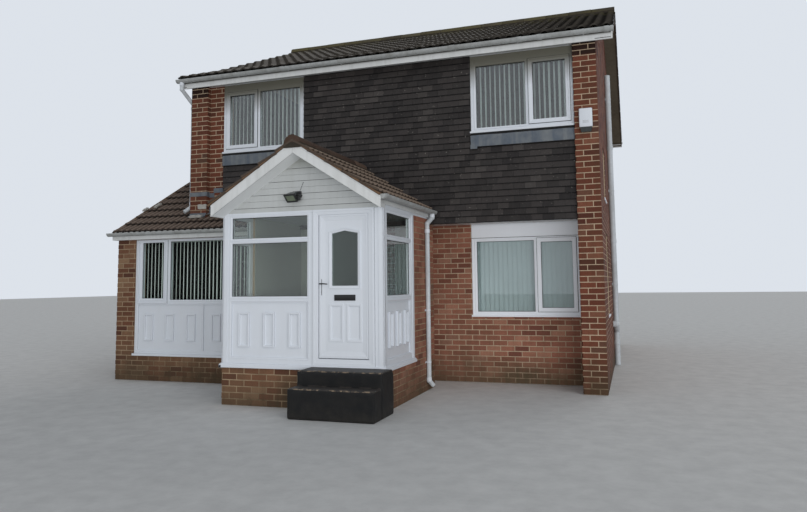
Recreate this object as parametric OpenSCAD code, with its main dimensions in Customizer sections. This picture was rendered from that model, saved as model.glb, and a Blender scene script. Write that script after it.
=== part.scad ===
// Two-storey detached house with brick cross walls, a tile-hung first floor that
// oversails the ground floor, a gabled glazed porch and a single-storey side extension.
// Origin: middle of the main block, at the lowest ground level. Front faces -Y, up is +Z.

/* [Main block] */
// Overall width over the two brick cross walls
house_w = 6900; // [6000:10:9000]
// Depth from the front ends of the cross walls to the rear face
house_d = 8000; // [6500:10:10000]
// Height of one brick course with its joint
course = 82.5; // [75:0.5:84]
// Courses from the ground to the eaves soffit
soffit_courses = 61.5; // [58:0.5:72]
// Thickness of the brick cross walls at both ends
cross_wall_t = 330; // [250:5:400]
// Thickness of the other outside walls
wall_t = 275; // [200:5:350]
// Top of the ground floor above the ground
ground_floor_h = 500; // [150:10:700]
// Underside of the first floor above the ground
first_floor_h = 2560; // [2450:10:2700]
// Thickness of the first floor
first_floor_t = 250; // [150:10:350]

/* [Front wall] */
// How far the ground-floor front stands behind the cross wall ends
ground_recess = 820; // [600:10:1200]
// How far the first-floor wall stands behind the cross wall ends
upper_recess = 90; // [70:5:150]
// Thickness of the hung tiles and their battens
tile_hanging_t = 55; // [30:5:70]
// How far the hung tiles hang below the first floor
tile_drop = 80; // [40:10:120]
// Width of the brick strip beside the left first-floor window
nib_w = 295; // [110:5:450]
// Distance from the right cross wall to the side of the hall
hall_side = 2440; // [2100:10:2700]
// Height of the lead aprons under the first-floor windows
apron_h = 170; // [100:10:250]

/* [Windows] */
// Width of the first-floor windows
upper_window_w = 1550; // [1200:10:1700]
// Sill height of the first-floor windows
upper_sill_h = 3850; // [3400:10:4000]
// Width of the ground-floor front window
ground_window_w = 1760; // [1200:10:2000]
// Sill height of the ground-floor front window
ground_sill_h = 1030; // [900:10:1300]
// Head height of the ground-floor front window, below its white panel
ground_head_h = 2295; // [2100:5:2350]
// Depth of the window frames
frame_t = 70; // [50:5:90]
// Face width of the window frames round a fixed light
frame_w = 85; // [50:5:100]
// Face width of frame and sash round an opening light
sash_w = 115; // [80:5:130]
// Glass width of an opening light
sash_glass_w = 485; // [400:5:500]
// Width of the mullion between a fixed and an opening light
mullion_w = 108; // [80:2:130]
// Thickness of the double glazing
glass_t = 24; // [6:1:28]
// Setback of the frames behind the wall face
frame_setback = 30; // [10:5:60]

/* [Main roof] */
// Pitch of the main roof
roof_pitch = 24; // [18:1:35]
// Depth of the eaves in front of the cross wall ends
eaves_reach = 154; // [100:2:300]
// Overhang of the tiles past the fascia
tile_reach = 45; // [20:5:60]
// Overhang of the left verge
left_verge = 115; // [50:5:300]
// Overhang of the right verge
right_verge = 225; // [50:5:300]
// Height of the fascia boards
fascia_h = 150; // [100:10:250]
// Vertical thickness of the roof tiles and battens
roof_tile_t = 55; // [40:5:80]
// Vertical thickness of the rafters under them
rafter_t = 100; // [75:5:105]
// Thickness of fascia, soffit and barge boards
board_t = 20; // [15:1:30]
// Drop of the barge boards below the tiles
barge_drop = 200; // [120:10:260]
// Radius of the half-round gutters
gutter_r = 56; // [45:1:75]
// Wall of the gutters and pipes
gutter_t = 5; // [3:1:8]
// Radius of the rainwater pipes
pipe_r = 34; // [25:1:45]
// Radius of the soil pipe
soil_pipe_r = 50; // [40:1:60]

/* [Extension] */
// How far the extension front stands ahead of the cross wall ends
extension_reach = 330; // [200:10:900]
// Width of the extension left of the main block
extension_side_w = 1215; // [900:5:2500]
// Depth of the extension
extension_d = 5200; // [4200:10:7000]
// Height of the fascia foot on the extension
extension_eaves_h = 2380; // [2250:10:2450]
// Pitch of the extension roof
extension_pitch = 29; // [20:1:30]
// Height of the extension fascia
extension_fascia_h = 135; // [90:5:160]
// Width of the brick pier at the left of the extension window
extension_pier_w = 364; // [225:1:600]
// Courses of brick under the extension window
extension_plinth_courses = 5; // [3:1:7]
// Height of the rail under the extension glass
extension_rail_h = 1280; // [1100:10:1400]

/* [Porch] */
// Width of the porch over its walls
porch_w = 2330; // [2200:10:2600]
// Distance from the right cross wall to the porch side
porch_side = 2230; // [2000:10:2400]
// How far the porch stands ahead of the cross wall ends
porch_reach = 1980; // [1700:10:2600]
// Courses of brick under the porch frame
porch_plinth_courses = 6; // [5:1:7]
// Thickness of the porch brickwork
porch_wall_t = 110; // [100:5:225]
// Thickness of the porch plinth
porch_plinth_t = 215; // [110:5:225]
// Height of the sill board under the frame
porch_sill_h = 45; // [30:5:60]
// Top of the porch frame
porch_frame_h = 2550; // [2500:10:2600]
// Height of the rail under the porch glass
porch_rail_h = 1390; // [1200:10:1500]
// Height of the transom above the main glass
porch_transom_h = 2172; // [2050:2:2250]
// Length of the glazed frame along the right side
porch_side_frame = 1180; // [900:10:1400]
// Length of the glazed frame along the left side
porch_left_frame = 640; // [500:10:1200]
// Pitch of the porch roof
porch_pitch = 32.5; // [25:0.5:36]
// Overhang of the porch roof in front of the gable
porch_overhang = 288; // [150:2:400]
// Height of the porch ridge, top of the tiles
porch_ridge_h = 3480; // [3300:10:3800]
// Drop of the porch barge boards
porch_barge_drop = 155; // [100:5:220]

/* [Porch door] */
// Width of the door leaf
door_w = 720; // [640:5:800]
// Height of the door leaf
door_h = 1860; // [1700:5:1870]
// Thickness of the door leaf
door_t = 60; // [40:5:70]
// Distance from the porch's right side to the leaf's hinge edge
door_inset = 202; // [150:2:300]
// Overlap of the frame's front lip over the leaf
door_lap = 12; // [8:1:16]
// Clearance between the leaf and its frame
door_gap = 6; // [5:1:8]
// Height of the door handle above the leaf's foot
handle_h = 948; // [850:2:1100]

/* [Steps] */
// Width of the two steps
step_w = 1121; // [900:1:1500]
// Overhang of the steps past the porch's right side
step_side = 118; // [0:2:200]
// Going of the upper step
upper_step_d = 420; // [300:10:500]
// Top of the upper step
upper_step_h = 540; // [400:5:560]
// Going of the lower step
lower_step_d = 250; // [200:10:400]
// Top of the lower step
lower_step_h = 360; // [200:5:400]

/* [Hidden] */
$fn = 48;
front_y = -house_d/2;
rear_y = house_d/2;
left_x = -house_w/2;
right_x = house_w/2;
in_left_x = left_x + cross_wall_t;
in_right_x = right_x - cross_wall_t;
soffit_h = soffit_courses*course;
upper_floor_h = first_floor_h + first_floor_t;
upper_y = front_y + upper_recess;
tile_y = upper_y - tile_hanging_t;
tile_foot_h = first_floor_h - tile_drop;
recess_y = front_y + ground_recess;
hall_x = in_right_x - hall_side;
jetty_board_t = 40;
far = 20000;
// Parts that rest on a slope or carry one stop this far short of it
seat = 0.1;

// Main roof lines: height of the tile tops over any y
fascia_y = front_y - eaves_reach;
fascia_top_h = soffit_h - 54 + fascia_h;
function roof_top(y) = fascia_top_h + roof_tile_t + (abs(fascia_y) - abs(y))*tan(roof_pitch);
function roof_under(y) = roof_top(y) - roof_tile_t - rafter_t;
roof_left_x = left_x - left_verge;
roof_right_x = right_x + right_verge;

// Porch lines
porch_right_x = right_x - cross_wall_t - porch_side;
porch_left_x = porch_right_x - porch_w;
porch_y = front_y - porch_reach;
porch_mid_x = (porch_left_x + porch_right_x)/2 + 30;
porch_plinth_h = porch_plinth_courses*course;
porch_frame_foot = porch_plinth_h + porch_sill_h;
porch_slope = tan(porch_pitch);
function porch_top(x) = porch_ridge_h - abs(x - porch_mid_x)*porch_slope;
porch_tile_t = 45;
porch_rafter_t = 60;
porch_tile_reach = 30;
porch_barge_y = porch_y - porch_overhang;
porch_tip_left_x = porch_left_x - board_t - porch_tile_reach;
porch_tip_right_x = porch_right_x + board_t + porch_tile_reach;
porch_fascia_x = porch_right_x + board_t;
porch_fascia_left_x = porch_left_x - board_t;

// Extension lines
ext_y = front_y - extension_reach;
ext_left_x = left_x - extension_side_w;
ext_rear_y = ext_y + extension_d;
ext_mid_y = (ext_y + ext_rear_y)/2;
ext_fascia_reach = 110;
ext_plinth_h = extension_plinth_courses*course;
ext_tile_t = 45;
ext_tile_reach = 30;
ext_tip = extension_d/2 + ext_fascia_reach + ext_tile_reach;
ext_rafter_t = 90;
function ext_top(y) = extension_eaves_h + extension_fascia_h + ext_tile_t
    + (extension_d/2 + ext_fascia_reach - abs(y - ext_mid_y))*tan(extension_pitch);
function ext_under(y) = ext_top(y) - ext_tile_t - ext_rafter_t;
ext_verge = 40;
ext_window_x = ext_left_x + extension_pier_w;

// Door lines
door_rail_h = 95;
stop_t = 22;
pin_out = 10;
pin_gap = 0.3;
knuckle_r = 7;
leaf_x1 = porch_right_x - door_inset;
leaf_x0 = leaf_x1 - door_w;
leaf_foot = porch_frame_foot + door_rail_h + door_gap;
leaf_y = porch_y + stop_t + door_gap;
swing_gap = door_gap + 4;
hinge_x = leaf_x1 + 3;
hinge_y = leaf_y + door_t + pin_out;

// Shared shapes

// A box between two corners
module block(x0, x1, y0, y1, z0, z1) {
    translate([x0, y0, z0]) cube([x1 - x0, y1 - y0, z1 - z0]);
}

// A profile of [y, z] points drawn along X
module along_x(x0, x1, points) {
    translate([x0, 0, 0]) rotate([90, 0, 90]) linear_extrude(x1 - x0) polygon(points);
}

// A profile of [x, z] points drawn along Y
module along_y(y0, y1, points) {
    translate([0, y1, 0]) rotate([90, 0, 0]) linear_extrude(y1 - y0) polygon(points);
}

// A round bar between two points
module bar(a, b, r) {
    d = b - a;
    flat = norm([d[0], d[1]]);
    translate(a) rotate([0, atan2(flat, d[2]), atan2(d[1], d[0])]) cylinder(h = norm(d), r = r);
}

// Lights of a casement window: a fixed light and an opening light, [x0, x1, z0, z1]
function casement_lights(w, h, sash_first, jamb = sash_w) = sash_first
    ? [[jamb, jamb + sash_glass_w, frame_w + 60, h - sash_w],
       [jamb + sash_glass_w + mullion_w, w - frame_w, frame_w, h - frame_w]]
    : [[frame_w, w - jamb - sash_glass_w - mullion_w, frame_w, h - frame_w],
       [w - jamb - sash_glass_w, w - jamb, frame_w + 60, h - sash_w]];

// One fixed light
function single_light(w, h) = [[frame_w, w - frame_w, frame_w, h - frame_w]];

// A window frame whose lower left front corner is at the origin, facing -Y
module frame_unit(w, h, lights) {
    difference() {
        cube([w, frame_t, h]);
        for (l = lights) block(l[0], l[1], -1, frame_t + 1, l[2], l[3]);
    }
    translate([0, -25, 0]) cube([w, 25, 30]);
}

// The panes of a frame
module glass_unit(lights) {
    for (l = lights) block(l[0], l[1], (frame_t - glass_t)/2, (frame_t + glass_t)/2, l[2], l[3]);
}

// Places of the windows of the main block: [x, y, z, turn, width, height, lights]
soffit_t = 10;
upper_window_h = soffit_h - soffit_t - upper_sill_h;
upper_light_h = upper_window_h - 80;
side_window_w = 700;
rear_window_w = 1500;
rear_window_h = 1000;
rear_x = 1500;
upper_front_frame_y = tile_y + frame_setback;
ground_front_frame_y = recess_y + frame_setback;
side_frame_x = right_x - frame_setback;
rear_frame_y = rear_y - frame_setback;
side_window_y = front_y + 1300;
stair_window_z = 2890;
stair_window_h = 870;
side_window_z = 1000;
side_window_h = 1350;
front_left_x = in_left_x + nib_w;
front_right_x = in_right_x - upper_window_w;
windows = [
    [front_left_x, upper_front_frame_y, upper_sill_h, 0, upper_window_w, upper_window_h,
        casement_lights(upper_window_w, upper_light_h, true)],
    [front_right_x, upper_front_frame_y, upper_sill_h, 0, upper_window_w, upper_window_h,
        casement_lights(upper_window_w, upper_light_h, false)],
    [in_right_x - ground_window_w, ground_front_frame_y, ground_sill_h, 0, ground_window_w,
        ground_head_h - ground_sill_h,
        casement_lights(ground_window_w, ground_head_h - ground_sill_h + 30, false, 160)],
    [side_frame_x, side_window_y, stair_window_z, 90, side_window_w, stair_window_h,
        single_light(side_window_w, stair_window_h)],
    [side_frame_x, side_window_y, side_window_z, 90, side_window_w, side_window_h,
        single_light(side_window_w, side_window_h)],
    [rear_x + rear_window_w/2, rear_frame_y, upper_sill_h, 180, rear_window_w, upper_window_h,
        casement_lights(rear_window_w, upper_light_h, false)],
    [-rear_x + rear_window_w/2, rear_frame_y, upper_sill_h, 180, rear_window_w, upper_window_h,
        casement_lights(rear_window_w, upper_light_h, true)],
    [rear_x + rear_window_w/2, rear_frame_y, ground_head_h - rear_window_h, 180, rear_window_w,
        rear_window_h, casement_lights(rear_window_w, rear_window_h, false)],
];
upper_front = [0, 1];
ground_front = [2];
right_side = [3, 4];
rear_side = [5, 6, 7];
rear_door_w = 900;
rear_door_x = -rear_x - rear_door_w/2;
rear_door_h = 2000;
hall_door_w = 900;
hall_door_x = porch_left_x + 420;
hall_door_h = 1960;

// The hole in a wall for one window
module window_hole(w) {
    translate([w[0], w[1], w[2]]) rotate([0, 0, w[3]]) translate([0, -far/40, 0])
        cube([w[4], far/20, w[5]]);
}

// The space under the main roof, from ground to rafters
module under_roof() {
    along_x(-far/2, far/2, [[front_y, -1], [front_y, roof_under(front_y) - seat],
        [0, roof_under(0) - seat], [rear_y, roof_under(rear_y) - seat], [rear_y, -1]]);
}

// Main block

module ground_floor() {
    hall_in_x = hall_x - wall_t;
    color("gray") linear_extrude(ground_floor_h) polygon([
        [in_left_x, front_y], [porch_left_x, front_y], [porch_left_x, upper_y + wall_t],
        [hall_in_x, upper_y + wall_t], [hall_in_x, recess_y + wall_t],
        [in_right_x, recess_y + wall_t], [in_right_x, rear_y - wall_t],
        [in_left_x, rear_y - wall_t]]);
}

module first_floor() {
    color("tan") block(in_left_x, in_right_x, upper_y, rear_y - wall_t, first_floor_h, upper_floor_h);
}

module left_gable_wall() {
    color("firebrick") difference() {
        intersection() {
            block(left_x, in_left_x, front_y, rear_y, 0, far/2);
            under_roof();
        }
        block(left_x - 1, in_left_x + 1, front_y + 600, front_y + 2600, ground_floor_h, 2400);
    }
}

module right_gable_wall() {
    color("firebrick") difference() {
        intersection() {
            block(in_right_x, right_x, front_y, rear_y, 0, far/2);
            under_roof();
        }
        for (i = right_side) window_hole(windows[i]);
    }
}

module rear_wall() {
    color("firebrick") difference() {
        intersection() {
            block(in_left_x, in_right_x, rear_y - wall_t, rear_y, 0, far/2);
            under_roof();
        }
        for (i = rear_side) window_hole(windows[i]);
        block(rear_door_x, rear_door_x + rear_door_w, rear_y - wall_t - 1, rear_y + 1,
            ground_floor_h, ground_floor_h + rear_door_h);
    }
}

// The hung tiles cover it from the first window to the right, and its brick shows left of that
module front_wall_upper() {
    color("firebrick") difference() {
        intersection() {
            block(in_left_x, in_right_x, upper_y, upper_y + wall_t, upper_floor_h, far/2);
            under_roof();
        }
        for (i = upper_front) window_hole(windows[i]);
    }
}

module front_wall_ground() {
    color("firebrick") difference() {
        block(hall_x, in_right_x, recess_y, recess_y + wall_t, 0, first_floor_h);
        block(in_right_x - ground_window_w, in_right_x + 1, recess_y - 1, recess_y + wall_t + 1,
            ground_sill_h, first_floor_h + 1);
    }
}

module hall_wall() {
    color("linen") difference() {
        union() {
            block(porch_left_x, hall_x, upper_y, upper_y + wall_t, 0, first_floor_h);
            block(hall_x - wall_t, hall_x, upper_y + wall_t, recess_y + wall_t, 0, first_floor_h);
        }
        block(hall_door_x, hall_door_x + hall_door_w, upper_y - 1, upper_y + wall_t + 1,
            ground_floor_h, ground_floor_h + hall_door_h);
    }
}

module tile_hanging() {
    color("dimgray") difference() {
        block(front_left_x, in_right_x, tile_y, upper_y, tile_foot_h, soffit_h - soffit_t);
        for (i = upper_front) window_hole(windows[i]);
    }
}

module jetty_soffit() {
    color("white") block(hall_x, in_right_x, upper_y, recess_y, first_floor_h - jetty_board_t, first_floor_h);
}

// The frames of the windows with the given places in the list
module frames_at(places) {
    for (i = places) {
        w = windows[i];
        color("white") translate([w[0], w[1], w[2]]) rotate([0, 0, w[3]]) frame_unit(w[4], w[5], w[6]);
    }
}

// The panes of the windows with the given places in the list
module glass_at(places) {
    for (i = places) {
        w = windows[i];
        color("lightblue") translate([w[0], w[1], w[2]]) rotate([0, 0, w[3]]) glass_unit(w[6]);
    }
}

module upper_front_windows() { frames_at(upper_front); }

// The frame with the white panel that fills the wall above it
module ground_front_window() {
    frames_at(ground_front);
    color("white") block(in_right_x - ground_window_w, in_right_x, ground_front_frame_y,
        ground_front_frame_y + 40, ground_head_h, first_floor_h);
}

module side_windows() { frames_at(right_side); }

module rear_windows() { frames_at(rear_side); }

module front_glass() { glass_at(concat(upper_front, ground_front)); }

module side_glass() { glass_at(right_side); }

module rear_glass() { glass_at(rear_side); }

// Frame of the long extension window, open for its lights and panels, on its own sill
module extension_window() {
    color("white") difference() {
        block(ext_window_x, porch_left_x, ext_frame_y, ext_frame_y + frame_t, ext_plinth_h,
            extension_eaves_h);
        for (l = concat(ext_lights, ext_panels))
            block(l[0], l[1], ext_frame_y - 1, ext_frame_y + frame_t + 1, l[2], l[3]);
    }
    color("white") block(ext_window_x, porch_left_x, ext_y - 25, ext_frame_y,
        ext_plinth_h, ext_plinth_h + 35);
}

// Lights and panels of the extension window, [x0, x1, z0, z1]
ext_frame_w = 66;
ext_sash_w = 135;
ext_sash_x1 = ext_window_x + 568;
ext_frame_y = ext_y + 20;
ext_lights = [
    [ext_window_x + ext_sash_w, ext_sash_x1, extension_rail_h + 95, extension_eaves_h - 55],
    [ext_sash_x1 + ext_sash_w, porch_left_x - ext_frame_w, extension_rail_h + 70,
        extension_eaves_h - 45]];
ext_panel_split_x = ext_window_x + 1355;
ext_panels = [
    [ext_window_x + ext_frame_w, ext_panel_split_x - 20, ext_plinth_h + 95, extension_rail_h - 10],
    [ext_panel_split_x + 20, porch_left_x - ext_frame_w, ext_plinth_h + 95, extension_rail_h - 10]];

glass_in = (frame_t - glass_t)/2;
panel_in = 23;
panel_t = 24;

module extension_glass() {
    for (l = ext_lights)
        color("lightblue") block(l[0], l[1], ext_frame_y + glass_in, ext_frame_y + glass_in + glass_t,
            l[2], l[3]);
}

// A flat infill panel facing -Y, with raised rims on its front at an even pitch
module moulded_panel(w, h, count, rim_w, foot_gap) {
    rim = 22;
    raised = 8;
    pitch = w/count;
    rim_h = h - 2*foot_gap;
    cube([w, panel_t, h]);
    for (i = [0 : count - 1]) translate([(i + 0.5)*pitch - rim_w/2, -raised, foot_gap]) difference() {
        cube([rim_w, raised, rim_h]);
        translate([rim, -1, rim]) cube([rim_w - 2*rim, raised + 2, rim_h - 2*rim]);
    }
}

module extension_panels() {
    for (l = ext_panels)
        color("white") translate([l[0], ext_frame_y + panel_in, l[2]])
            moulded_panel(l[1] - l[0], l[3] - l[2], 3, 175, 155);
}

module porch_panels() {
    panel_h = porch_panel_head - porch_panel_foot;
    foot_gap = 130;
    color("white") translate([front_light[0], porch_y + panel_in, porch_panel_foot])
        moulded_panel(front_light[1] - front_light[0], panel_h, 3, 168, foot_gap);
    color("white") translate([porch_right_x - panel_in, side_light[0], porch_panel_foot])
        rotate([0, 0, 90]) moulded_panel(side_light[1] - side_light[0], panel_h, 3, 150, foot_gap);
    color("white") translate([porch_left_x + panel_in, left_light[1], porch_panel_foot])
        rotate([0, 0, -90]) moulded_panel(left_light[1] - left_light[0], panel_h, 2, 130, foot_gap);
}

// A fixed door leaf facing -Y with a sunk upper panel
module fixed_door(w, h) {
    leaf_t = 60;
    stile = 180;
    difference() {
        cube([w, leaf_t, h]);
        translate([stile, -1, 900]) cube([w - 2*stile, 21, h - 900 - stile]);
        translate([stile, -1, 200]) cube([w - 2*stile, 13, 500]);
    }
}

module hall_door() {
    color("white") translate([hall_door_x, upper_y + 50, ground_floor_h]) fixed_door(hall_door_w, hall_door_h);
}

module rear_door() {
    color("white") translate([rear_door_x + rear_door_w, rear_y - 50, ground_floor_h]) rotate([0, 0, 180])
        fixed_door(rear_door_w, rear_door_h);
}

// Lead aprons under the upper windows and where the extension roof meets the walls
module lead_flashings() {
    lead_t = 5;
    apron_top = upper_sill_h - 36;
    for (i = upper_front)
        color("slategray") block(windows[i][0], windows[i][0] + upper_window_w, tile_y - lead_t, tile_y,
            apron_top - apron_h, apron_top);
    for (run = [[left_x, in_left_x, front_y], [in_left_x, front_left_x, upper_y],
            [front_left_x, porch_left_x - 100, tile_y]])
        color("slategray") translate([0, 0, seat]) along_x(run[0], run[1], [
            [run[2], ext_top(run[2])],
            [run[2] - 85, ext_top(run[2] - 85)], [run[2] - 85, ext_top(run[2] - 85) + lead_t],
            [run[2] - lead_t, ext_top(run[2] - lead_t) + lead_t],
            [run[2] - lead_t, ext_top(run[2]) + 120], [run[2], ext_top(run[2]) + 120]]);
}

// Main roof

// One slope: tiles run past the fascia, rafters stop behind it
module roof_slope() {
    eaves_y = fascia_y - tile_reach;
    rafter_y = fascia_y + board_t;
    along_x(roof_left_x, roof_right_x, [[0, roof_top(0)], [eaves_y, roof_top(eaves_y)],
        [eaves_y, roof_top(eaves_y) - roof_tile_t], [rafter_y, roof_top(rafter_y) - roof_tile_t],
        [rafter_y, roof_under(rafter_y)], [0, roof_under(0)]]);
}

module front_roof_slope() { color("dimgray") roof_slope(); }

module rear_roof_slope() { color("dimgray") mirror([0, 1, 0]) roof_slope(); }

// Ridge tiles sit on both slopes
ridge_r = 115;
ridge_sink = 60;
module ridge_run(length, top) {
    difference() {
        translate([0, 0, -ridge_sink]) rotate([0, 90, 0]) cylinder(h = length, r = ridge_r);
        translate([0, 0, seat]) along_x(-1, length + 1, [[0, 0], [-2*ridge_r, -2*ridge_r*top],
            [-2*ridge_r, -3*ridge_r], [2*ridge_r, -3*ridge_r], [2*ridge_r, -2*ridge_r*top]]);
    }
}

module ridge_tiles() {
    color("dimgray") translate([roof_left_x, 0, roof_top(0)])
        ridge_run(roof_right_x - roof_left_x, tan(roof_pitch));
    color("saddlebrown") translate([ext_left_x - ext_verge, ext_mid_y, ext_top(ext_mid_y)])
        ridge_run(extension_side_w + ext_verge, tan(extension_pitch));
    color("saddlebrown") translate([porch_mid_x, porch_barge_y, porch_ridge_h]) rotate([0, 0, 90])
        ridge_run(tile_y - porch_barge_y, porch_slope);
}

// A barge board on a gable end, from the ridge down both slopes
barge_step = 12;
module main_barge(x) {
    for (side = [-1, 1])
        along_x(x, x + board_t, [[0, roof_top(0) - barge_step], [0, roof_top(0) - barge_drop],
            [side*abs(fascia_y), roof_top(fascia_y) - barge_drop],
            [side*abs(fascia_y), roof_top(fascia_y) - barge_step]]);
}

module barge_boards() {
    color("saddlebrown") main_barge(roof_right_x);
    color("saddlebrown") main_barge(roof_left_x - board_t);
    for (end = [porch_fascia_left_x, porch_fascia_x])
        color("white") along_y(porch_barge_y, porch_barge_y + board_t, [
            [porch_mid_x, porch_ridge_h - barge_step], [porch_mid_x, porch_ridge_h - porch_barge_drop],
            [end, porch_top(end) - porch_barge_drop], [end, porch_top(end) - barge_step]]);
}

// Fascias and soffits of one long side of the main roof, facing -Y
module main_eaves() {
    block(roof_left_x, roof_right_x, fascia_y, fascia_y + board_t, fascia_top_h - fascia_h, fascia_top_h);
    block(roof_left_x, roof_right_x, fascia_y + board_t, front_y, soffit_h - soffit_t, soffit_h);
}

module eaves_boards() {
    color("white") main_eaves();
    color("white") block(in_left_x, in_right_x, front_y, upper_y, soffit_h - soffit_t, soffit_h);
    color("white") mirror([0, 1, 0]) main_eaves();
    ext_fascia_y = ext_y - ext_fascia_reach;
    color("white") block(ext_left_x - ext_verge, porch_left_x, ext_fascia_y, ext_fascia_y + board_t,
        extension_eaves_h, extension_eaves_h + extension_fascia_h);
    color("white") block(ext_left_x - ext_verge, porch_left_x, ext_fascia_y + board_t, ext_y,
        extension_eaves_h, extension_eaves_h + soffit_t);
    color("white") block(ext_left_x - ext_verge, left_x, ext_rear_y, ext_rear_y + ext_fascia_reach - board_t,
        extension_eaves_h, extension_eaves_h + soffit_t);
    color("white") block(ext_left_x - ext_verge, left_x, ext_rear_y + ext_fascia_reach - board_t,
        ext_rear_y + ext_fascia_reach, extension_eaves_h, extension_eaves_h + extension_fascia_h);
    // The porch fascias, the left one as far as the extension gutter
    for (run = [[porch_right_x, porch_fascia_x, porch_fascia_x, tile_y],
            [porch_fascia_left_x, porch_left_x, porch_fascia_left_x, ext_y - ext_fascia_reach - 3*gutter_r]])
        color("white") block(run[0], run[1], porch_barge_y + board_t, run[3],
            porch_top(run[2]) - porch_tile_t - 120, porch_top(run[2]) - porch_tile_t);
}

// A half-round gutter along X whose back touches y = 0 and whose rim is at z = 0
module gutter_run(length) {
    translate([0, -gutter_r, 0]) rotate([90, 0, 90]) difference() {
        cylinder(h = length, r = gutter_r);
        translate([0, 0, gutter_t]) cylinder(h = length - 2*gutter_t, r = gutter_r - gutter_t);
        translate([-2*gutter_r, 0, -1]) cube([4*gutter_r, 2*gutter_r, length + 2]);
    }
}

gutter_drop = 6;
tip_gap = 3;
main_gutter_z = fascia_top_h - gutter_drop;
ext_gutter_z = ext_top(ext_mid_y + ext_tip) - ext_tile_t - tip_gap;
porch_gutter_z = porch_top(porch_tip_right_x) - porch_tile_t - tip_gap;
gutter_past = 40;

module gutters() {
    color("gainsboro") translate([roof_left_x - gutter_past, fascia_y, main_gutter_z])
        gutter_run(roof_right_x - roof_left_x + 2*gutter_past);
    color("gainsboro") translate([roof_right_x + gutter_past, -fascia_y, main_gutter_z])
        rotate([0, 0, 180]) gutter_run(roof_right_x - roof_left_x + 2*gutter_past);
    color("gainsboro") translate([ext_left_x - ext_verge - gutter_past, ext_y - ext_fascia_reach, ext_gutter_z])
        gutter_run(porch_fascia_left_x - ext_left_x + ext_verge + gutter_past);
    color("gainsboro") translate([left_x, ext_rear_y + ext_fascia_reach, ext_gutter_z])
        rotate([0, 0, 180]) gutter_run(extension_side_w + ext_verge + gutter_past);
    color("gainsboro") translate([porch_fascia_x, porch_barge_y + board_t, porch_gutter_z])
        rotate([0, 0, 90]) gutter_run(tile_y - porch_barge_y - board_t);
}

// A pipe that follows a list of points, with a swollen elbow at each bend
elbow_swell = 4;
module pipe_run(points) {
    union() {
        for (i = [0 : len(points) - 2]) bar(points[i], points[i + 1], pipe_r);
        for (i = [1 : len(points) - 2]) translate(points[i]) sphere(r = pipe_r + elbow_swell);
    }
}

module downpipes() {
    clip = pipe_r + elbow_swell;
    // From the left end of the front gutter to the extension roof
    color("white") pipe_run([
        [left_x - 60, fascia_y - gutter_r, main_gutter_z - gutter_r],
        [left_x - 60, fascia_y - gutter_r, main_gutter_z - gutter_r - 110],
        [left_x - clip, front_y + 90, main_gutter_z - gutter_r - 310],
        [left_x - clip, front_y + 90, ext_top(front_y + 90) + 110],
        [left_x - clip - 70, front_y - 20, ext_top(front_y - 20) + 70]]);
    // At the rear, down to the ground
    color("white") pipe_run([
        [right_x - 150, -fascia_y + gutter_r, main_gutter_z - gutter_r],
        [right_x - 150, -fascia_y + gutter_r, main_gutter_z - gutter_r - 110],
        [right_x - 150, rear_y + clip, main_gutter_z - gutter_r - 260],
        [right_x - 150, rear_y + clip, 130],
        [right_x - 150, rear_y + clip + 80, 70]]);
    // Beside the porch, down to the ground
    porch_pipe_x = porch_right_x + clip;
    outlet_y = tile_y - 110;
    pipe_y = tile_y - 255;
    color("white") pipe_run([
        [porch_fascia_x + gutter_r, outlet_y, porch_gutter_z - gutter_r],
        [porch_fascia_x + gutter_r, outlet_y, porch_gutter_z - gutter_r - 50],
        [porch_pipe_x, pipe_y, porch_gutter_z - gutter_r - 150],
        [porch_pipe_x, pipe_y, 150],
        [porch_pipe_x + 40, pipe_y + 75, 75]]);
}

module soil_pipe() {
    pipe_y = front_y + 3630;
    pipe_x = right_x + soil_pipe_r + 8;
    foot = 5;
    top = 5600;
    color("lightgray") difference() {
        union() {
            translate([pipe_x, pipe_y, foot]) cylinder(h = top - foot, r = soil_pipe_r);
            bar([pipe_x, pipe_y, 640], [pipe_x, pipe_y - 260, 780], soil_pipe_r);
            translate([pipe_x, pipe_y - 260, 780]) sphere(r = soil_pipe_r + elbow_swell);
            bar([pipe_x, pipe_y - 260, 780], [right_x, pipe_y - 260, 780], soil_pipe_r);
            for (z = [1500, 3300, 5100]) block(right_x, pipe_x, pipe_y - 30, pipe_y + 30, z, z + 40);
        }
        translate([pipe_x, pipe_y, foot + 300]) cylinder(h = top, r = soil_pipe_r - gutter_t);
    }
}

module alarm_box() {
    color("white") block(right_x - 260, right_x - 75, front_y - 75, front_y, 3790, 4065);
    color("black") block(right_x - 255, right_x - 80, front_y - 66, front_y, 3718, 3790);
}

// Extension

// The space under the extension roof
module under_extension_roof() {
    along_x(-far/2, far/2, [[ext_y, -1], [ext_y, ext_under(ext_y) - seat],
        [ext_mid_y, ext_under(ext_mid_y) - seat], [ext_rear_y, ext_under(ext_rear_y) - seat],
        [ext_rear_y, -1]]);
}

module extension_floor() {
    color("gray") linear_extrude(ground_floor_h) polygon([
        [ext_left_x + wall_t, ext_y + wall_t], [porch_left_x, ext_y + wall_t], [porch_left_x, front_y],
        [left_x, front_y], [left_x, ext_rear_y - wall_t], [ext_left_x + wall_t, ext_rear_y - wall_t]]);
}

module extension_front_wall() {
    color("peru") intersection() {
        union() {
            block(ext_left_x, porch_left_x, ext_y, ext_y + wall_t, 0, ext_plinth_h);
            block(ext_left_x, ext_window_x, ext_y, ext_y + wall_t, ext_plinth_h, far/4);
            block(ext_window_x, porch_left_x, ext_y, ext_y + wall_t, extension_eaves_h, far/4);
        }
        under_extension_roof();
    }
}

module extension_side_wall() {
    color("peru") intersection() {
        block(ext_left_x, ext_left_x + wall_t, ext_y + wall_t, ext_rear_y - wall_t, 0, far/2);
        under_extension_roof();
    }
}

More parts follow.
